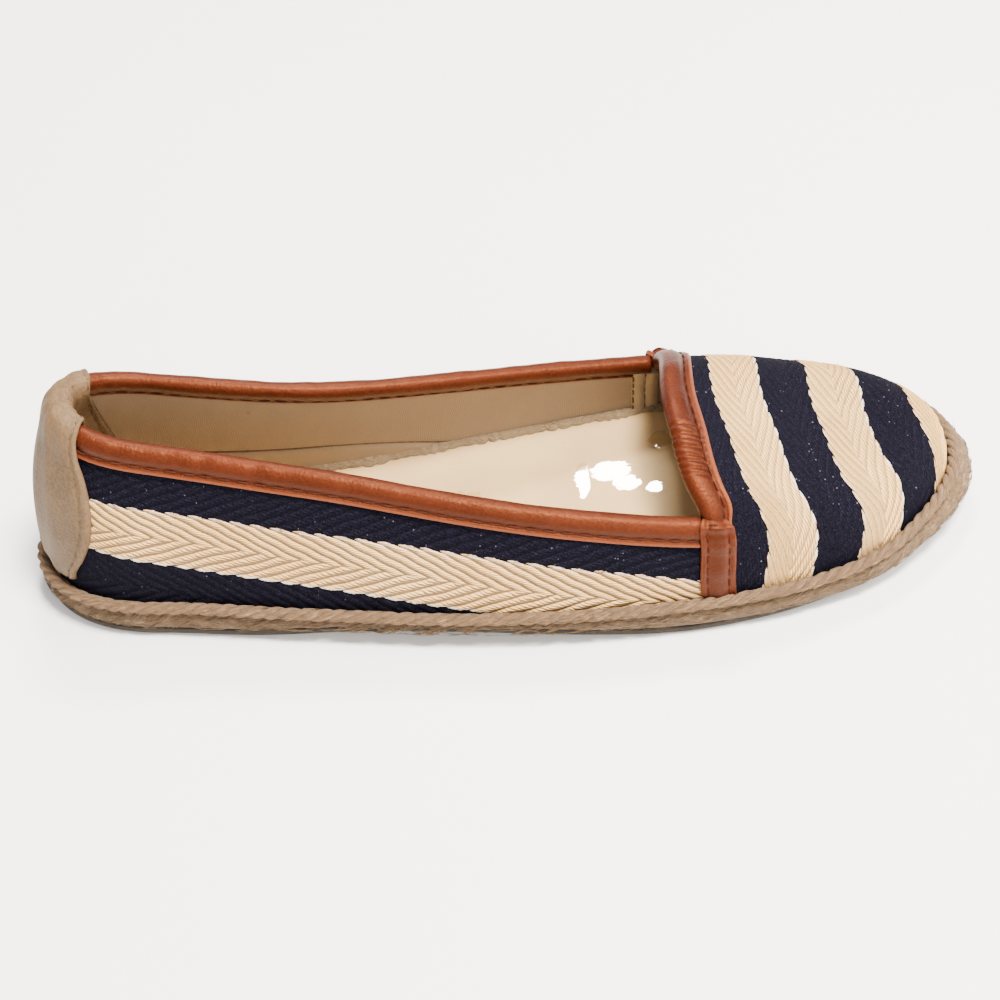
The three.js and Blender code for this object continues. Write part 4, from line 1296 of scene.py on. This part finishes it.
def make_heel_patch():
    fine = np.linspace(0, len(PATCH) - 1, 110)
    down, near, far, reach = (along(np.arange(len(PATCH)), values, fine)[:, None] for values in PATCH.T)
    wide = np.linspace(-1, 1, 110)
    u = share(reach) * wide
    fine = fine[:, None]
    from_edge = 1 - np.abs(wide)
    rounding = 0.3 + 0.95 * np.sqrt(1 - (1 - np.clip(from_edge / 0.05, 0, 1)) ** 2)
    thickness = (far - near) * (rounding - 0.25 * step(0.0, 1.0, from_edge / 0.12))
    wave = 0.12 * np.sin(wide * 21 + fine * 0.5) + 0.15 * np.sin(wide * 9 - fine * 0.3)
    seam = 0.925                                            # share of the way out to the stitches
    groove = 0.38 * bell(np.abs(wide), seam, 0.014)
    inner = from_topline(u, down, near)
    outside = near + thickness + np.sign(far - near) * (wave - groove)
    outer = from_topline(u, down - bell(fine, 13, 0.9), outside)
    points, faces = thick(outer, inner)
    piece("heel_patch_leather", points, faces, CREAM, ["heel_patch"])
    lines = []
    for side in (-1, 1):
        column = round((1 + side * seam) / 2 * 109)
        line = outer[:, column]
        outward = line - inner[:, column]
        lines.append((line + unit(outward) * 0.1, outward))
    stitches("heel_patch_stitches", lines, CREAM_THREAD, length=3.0, pitch=4.2, radius=0.3)


# ---- inside: tape on the joint, and the edge of the sock

def make_joint_tapes():
    """Tape over each joint of vamp and quarter, and the lines of stitches beside it and in the lining."""
    across = np.array([-9.0, -8.7, -5.4, -5.0, -4.6, -1.4, -1.0])
    rise = np.array([0.0, 0.8, 0.95, 0.2, 0.95, 0.8, 0.0])
    v = np.linspace(0.0, float(topline_v(share(THROAT))) * 0.86, 60)[:, None]
    wave = 0.12 * np.sin(v * 60)
    lines = []
    for outer, name in ((True, "joint_tape_outer"), (False, "joint_tape_inner")):
        u = on_side(share(THROAT + 3 + across) + 0 * v, outer)
        outside = skin(u, v, -WALL - 0.25 - rise + wave * (rise > 0.3))
        inside = skin(u, v, -WALL + 0.1)
        points, faces = thick(outside, inside)
        piece(name, points, faces, COTTON, lie=both_sides(lie_of(across, v * 32, TAPE)))
        for column in (1, 3):
            lines.append((outside[:, column], outside[:, column] - inside[:, column]))
    for outer in (True, False):
        for x in (95.2, 97.8):
            z = np.linspace(seam_height(x) - 0.2, 12.6, 12)
            line = over_rim(on_side(share(np.full(12, x)), outer), UPPER_INSET + WALL + 0.9, z)
            lines.append((line, unit(np.array([x, 0, 20.0]) - line)))
    stitches("lining_stitches", lines, BROWN_THREAD, length=2.9, pitch=3.3, radius=0.24)


# Section of the raw edge: in from the lining, and up from the sock.
RAW_EDGE = [
    (0.1, 0.0), (0.1, 1.0), (0.5, 1.35), (1.0, 1.2), (1.5, 0.75), (1.8, 0.3), (1.9, 0.05), (1.6, -0.2),
]


def make_sock_fringe():
    """Scalloped raw edge of the lining where it meets the sock."""
    u = ring_shares(1500)
    x = station(u)
    s = perimeter(u)
    waves = np.abs(np.sin(np.pi * (s + 1.1 * np.sin(s * 0.23)) / 3.1)) ** 0.7
    scallop = waves * (0.8 + 0.4 * np.sin(s * 0.37 + 1))
    rng = np.random.default_rng(3)
    rag = np.convolve(rng.normal(0, 1, len(u) + 8), np.ones(9) / 9, "valid")[:len(u)] * 0.35
    rows = []
    for more, up in RAW_EDGE:
        flare = 0.9 * scallop * np.clip((more - 0.4) / 1.2, 0, 1)
        uneven = (0.2 * scallop + 0.6 * rag) * (up > 0.5)
        rows.append(over_rim(u, UPPER_INSET + WALL + shelf(x) + more + flare + 1.5 * rag * (more > 0.9),
                             11.15 + up + spring(x) + uneven))
    grid = np.array(rows)
    faces = quads_of(numbers(grid.shape[:2]), close_rows=True, close_columns=True)
    piece("sock_edge_fringe", grid, faces, FRINGE, lie=lie_of(s, grid[..., 2]))


make_outsole()
make_jute_wrap()
make_rope()
make_hairs()
make_sock()
make_quarters()
make_quarter_lining()
make_vamp()
make_collar_binding()
make_vamp_binding()
make_side_strips()
make_heel_patch()
make_joint_tapes()
make_sock_fringe()


# ---- floor, light and camera

LIGHTS_AIM = (0.0, 0.0, 0.03)      # metres
# Name, place in metres, width and height, power, colour.
SOFTBOXES = [
    ("overhead", (0.30, -0.24, 1.22), (0.32, 0.32), 76, (1.0, 0.93, 0.82)),
    ("window", (0.04, 0.63, 1.13), (0.32, 0.16), 26, (1.0, 0.95, 0.87)),
    ("front_fill", (0.35, -1.25, 0.8), (1.0, 1.0), 25, (1.0, 0.95, 0.88)),
    ("toe_fill", (1.0, -0.1, 0.78), (0.5, 0.5), 20, (1.0, 0.94, 0.86)),
]
SENSOR = 36.0


def make_floor():
    mesh = bpy.data.meshes.new("floor")
    x, y = np.meshgrid(np.linspace(-3, 3, 24), np.linspace(-3, 3, 24))
    points = np.stack([x, y, 0 * x], -1).reshape(-1, 3)
    mesh.from_pydata(points.tolist(), [], quads_of(numbers(x.shape)).tolist())
    mesh.materials.append(pale_floor())
    ob = bpy.data.objects.new("floor", mesh)
    bpy.context.scene.collection.objects.link(ob)


def softbox(name, at, size, power, colour):
    light = bpy.data.lights.new(name, "AREA")
    light.shape = "RECTANGLE"
    light.size, light.size_y = size
    light.energy = power
    light.color = colour
    ob = bpy.data.objects.new(name, light)
    ob.location = at
    ob.rotation_mode = "QUATERNION"
    ob.rotation_quaternion = (Vector(LIGHTS_AIM) - Vector(at)).to_track_quat("-Z", "Y")
    bpy.context.scene.collection.objects.link(ob)


def make_room(colour, strength):
    world = bpy.data.worlds.new("room")
    world.use_nodes = True
    light = world.node_tree.nodes["Background"].inputs
    light["Color"].default_value = (*colour, 1)
    light["Strength"].default_value = strength
    bpy.context.scene.world = world


def make_camera(azimuth, elevation, roll, distance, target, focal, principal):
    """Camera that looks at a target, with its angles in degrees, and its focal length in frame widths."""
    a, e, r = (math.radians(t) for t in (azimuth, elevation, roll))
    back = Vector((math.sin(a) * math.cos(e), -math.cos(a) * math.cos(e), math.sin(e)))
    right = Vector((math.cos(a), math.sin(a), 0))
    up = back.cross(right)
    rolled_right = right * math.cos(r) + up * math.sin(r)
    rolled_up = up * math.cos(r) - right * math.sin(r)
    data = bpy.data.cameras.new("camera")
    data.sensor_width = SENSOR
    data.sensor_fit = "HORIZONTAL"
    data.lens = focal * SENSOR
    data.shift_x = 0.5 - principal[0]
    data.shift_y = principal[1] - 0.5
    data.clip_start, data.clip_end = 0.05, 20
    ob = bpy.data.objects.new("camera", data)
    place = (np.array(target) + SHIFT) / 1000 + np.array(back) * distance / 1000
    turned = [[rolled_right[k], rolled_up[k], back[k], place[k]] for k in range(3)]
    ob.matrix_world = Matrix([*turned, [0, 0, 0, 1]])
    bpy.context.scene.collection.objects.link(ob)
    bpy.context.scene.camera = ob


make_floor()
for box in SOFTBOXES:
    softbox(*box)
make_room((0.92, 0.95, 1.0), 0.58)
make_camera(azimuth=-1.588, elevation=44.129, roll=-3.504, distance=556.9, target=(143.4, 0.31, 15.0),
            focal=2.060, principal=(0.5664, 0.4887))
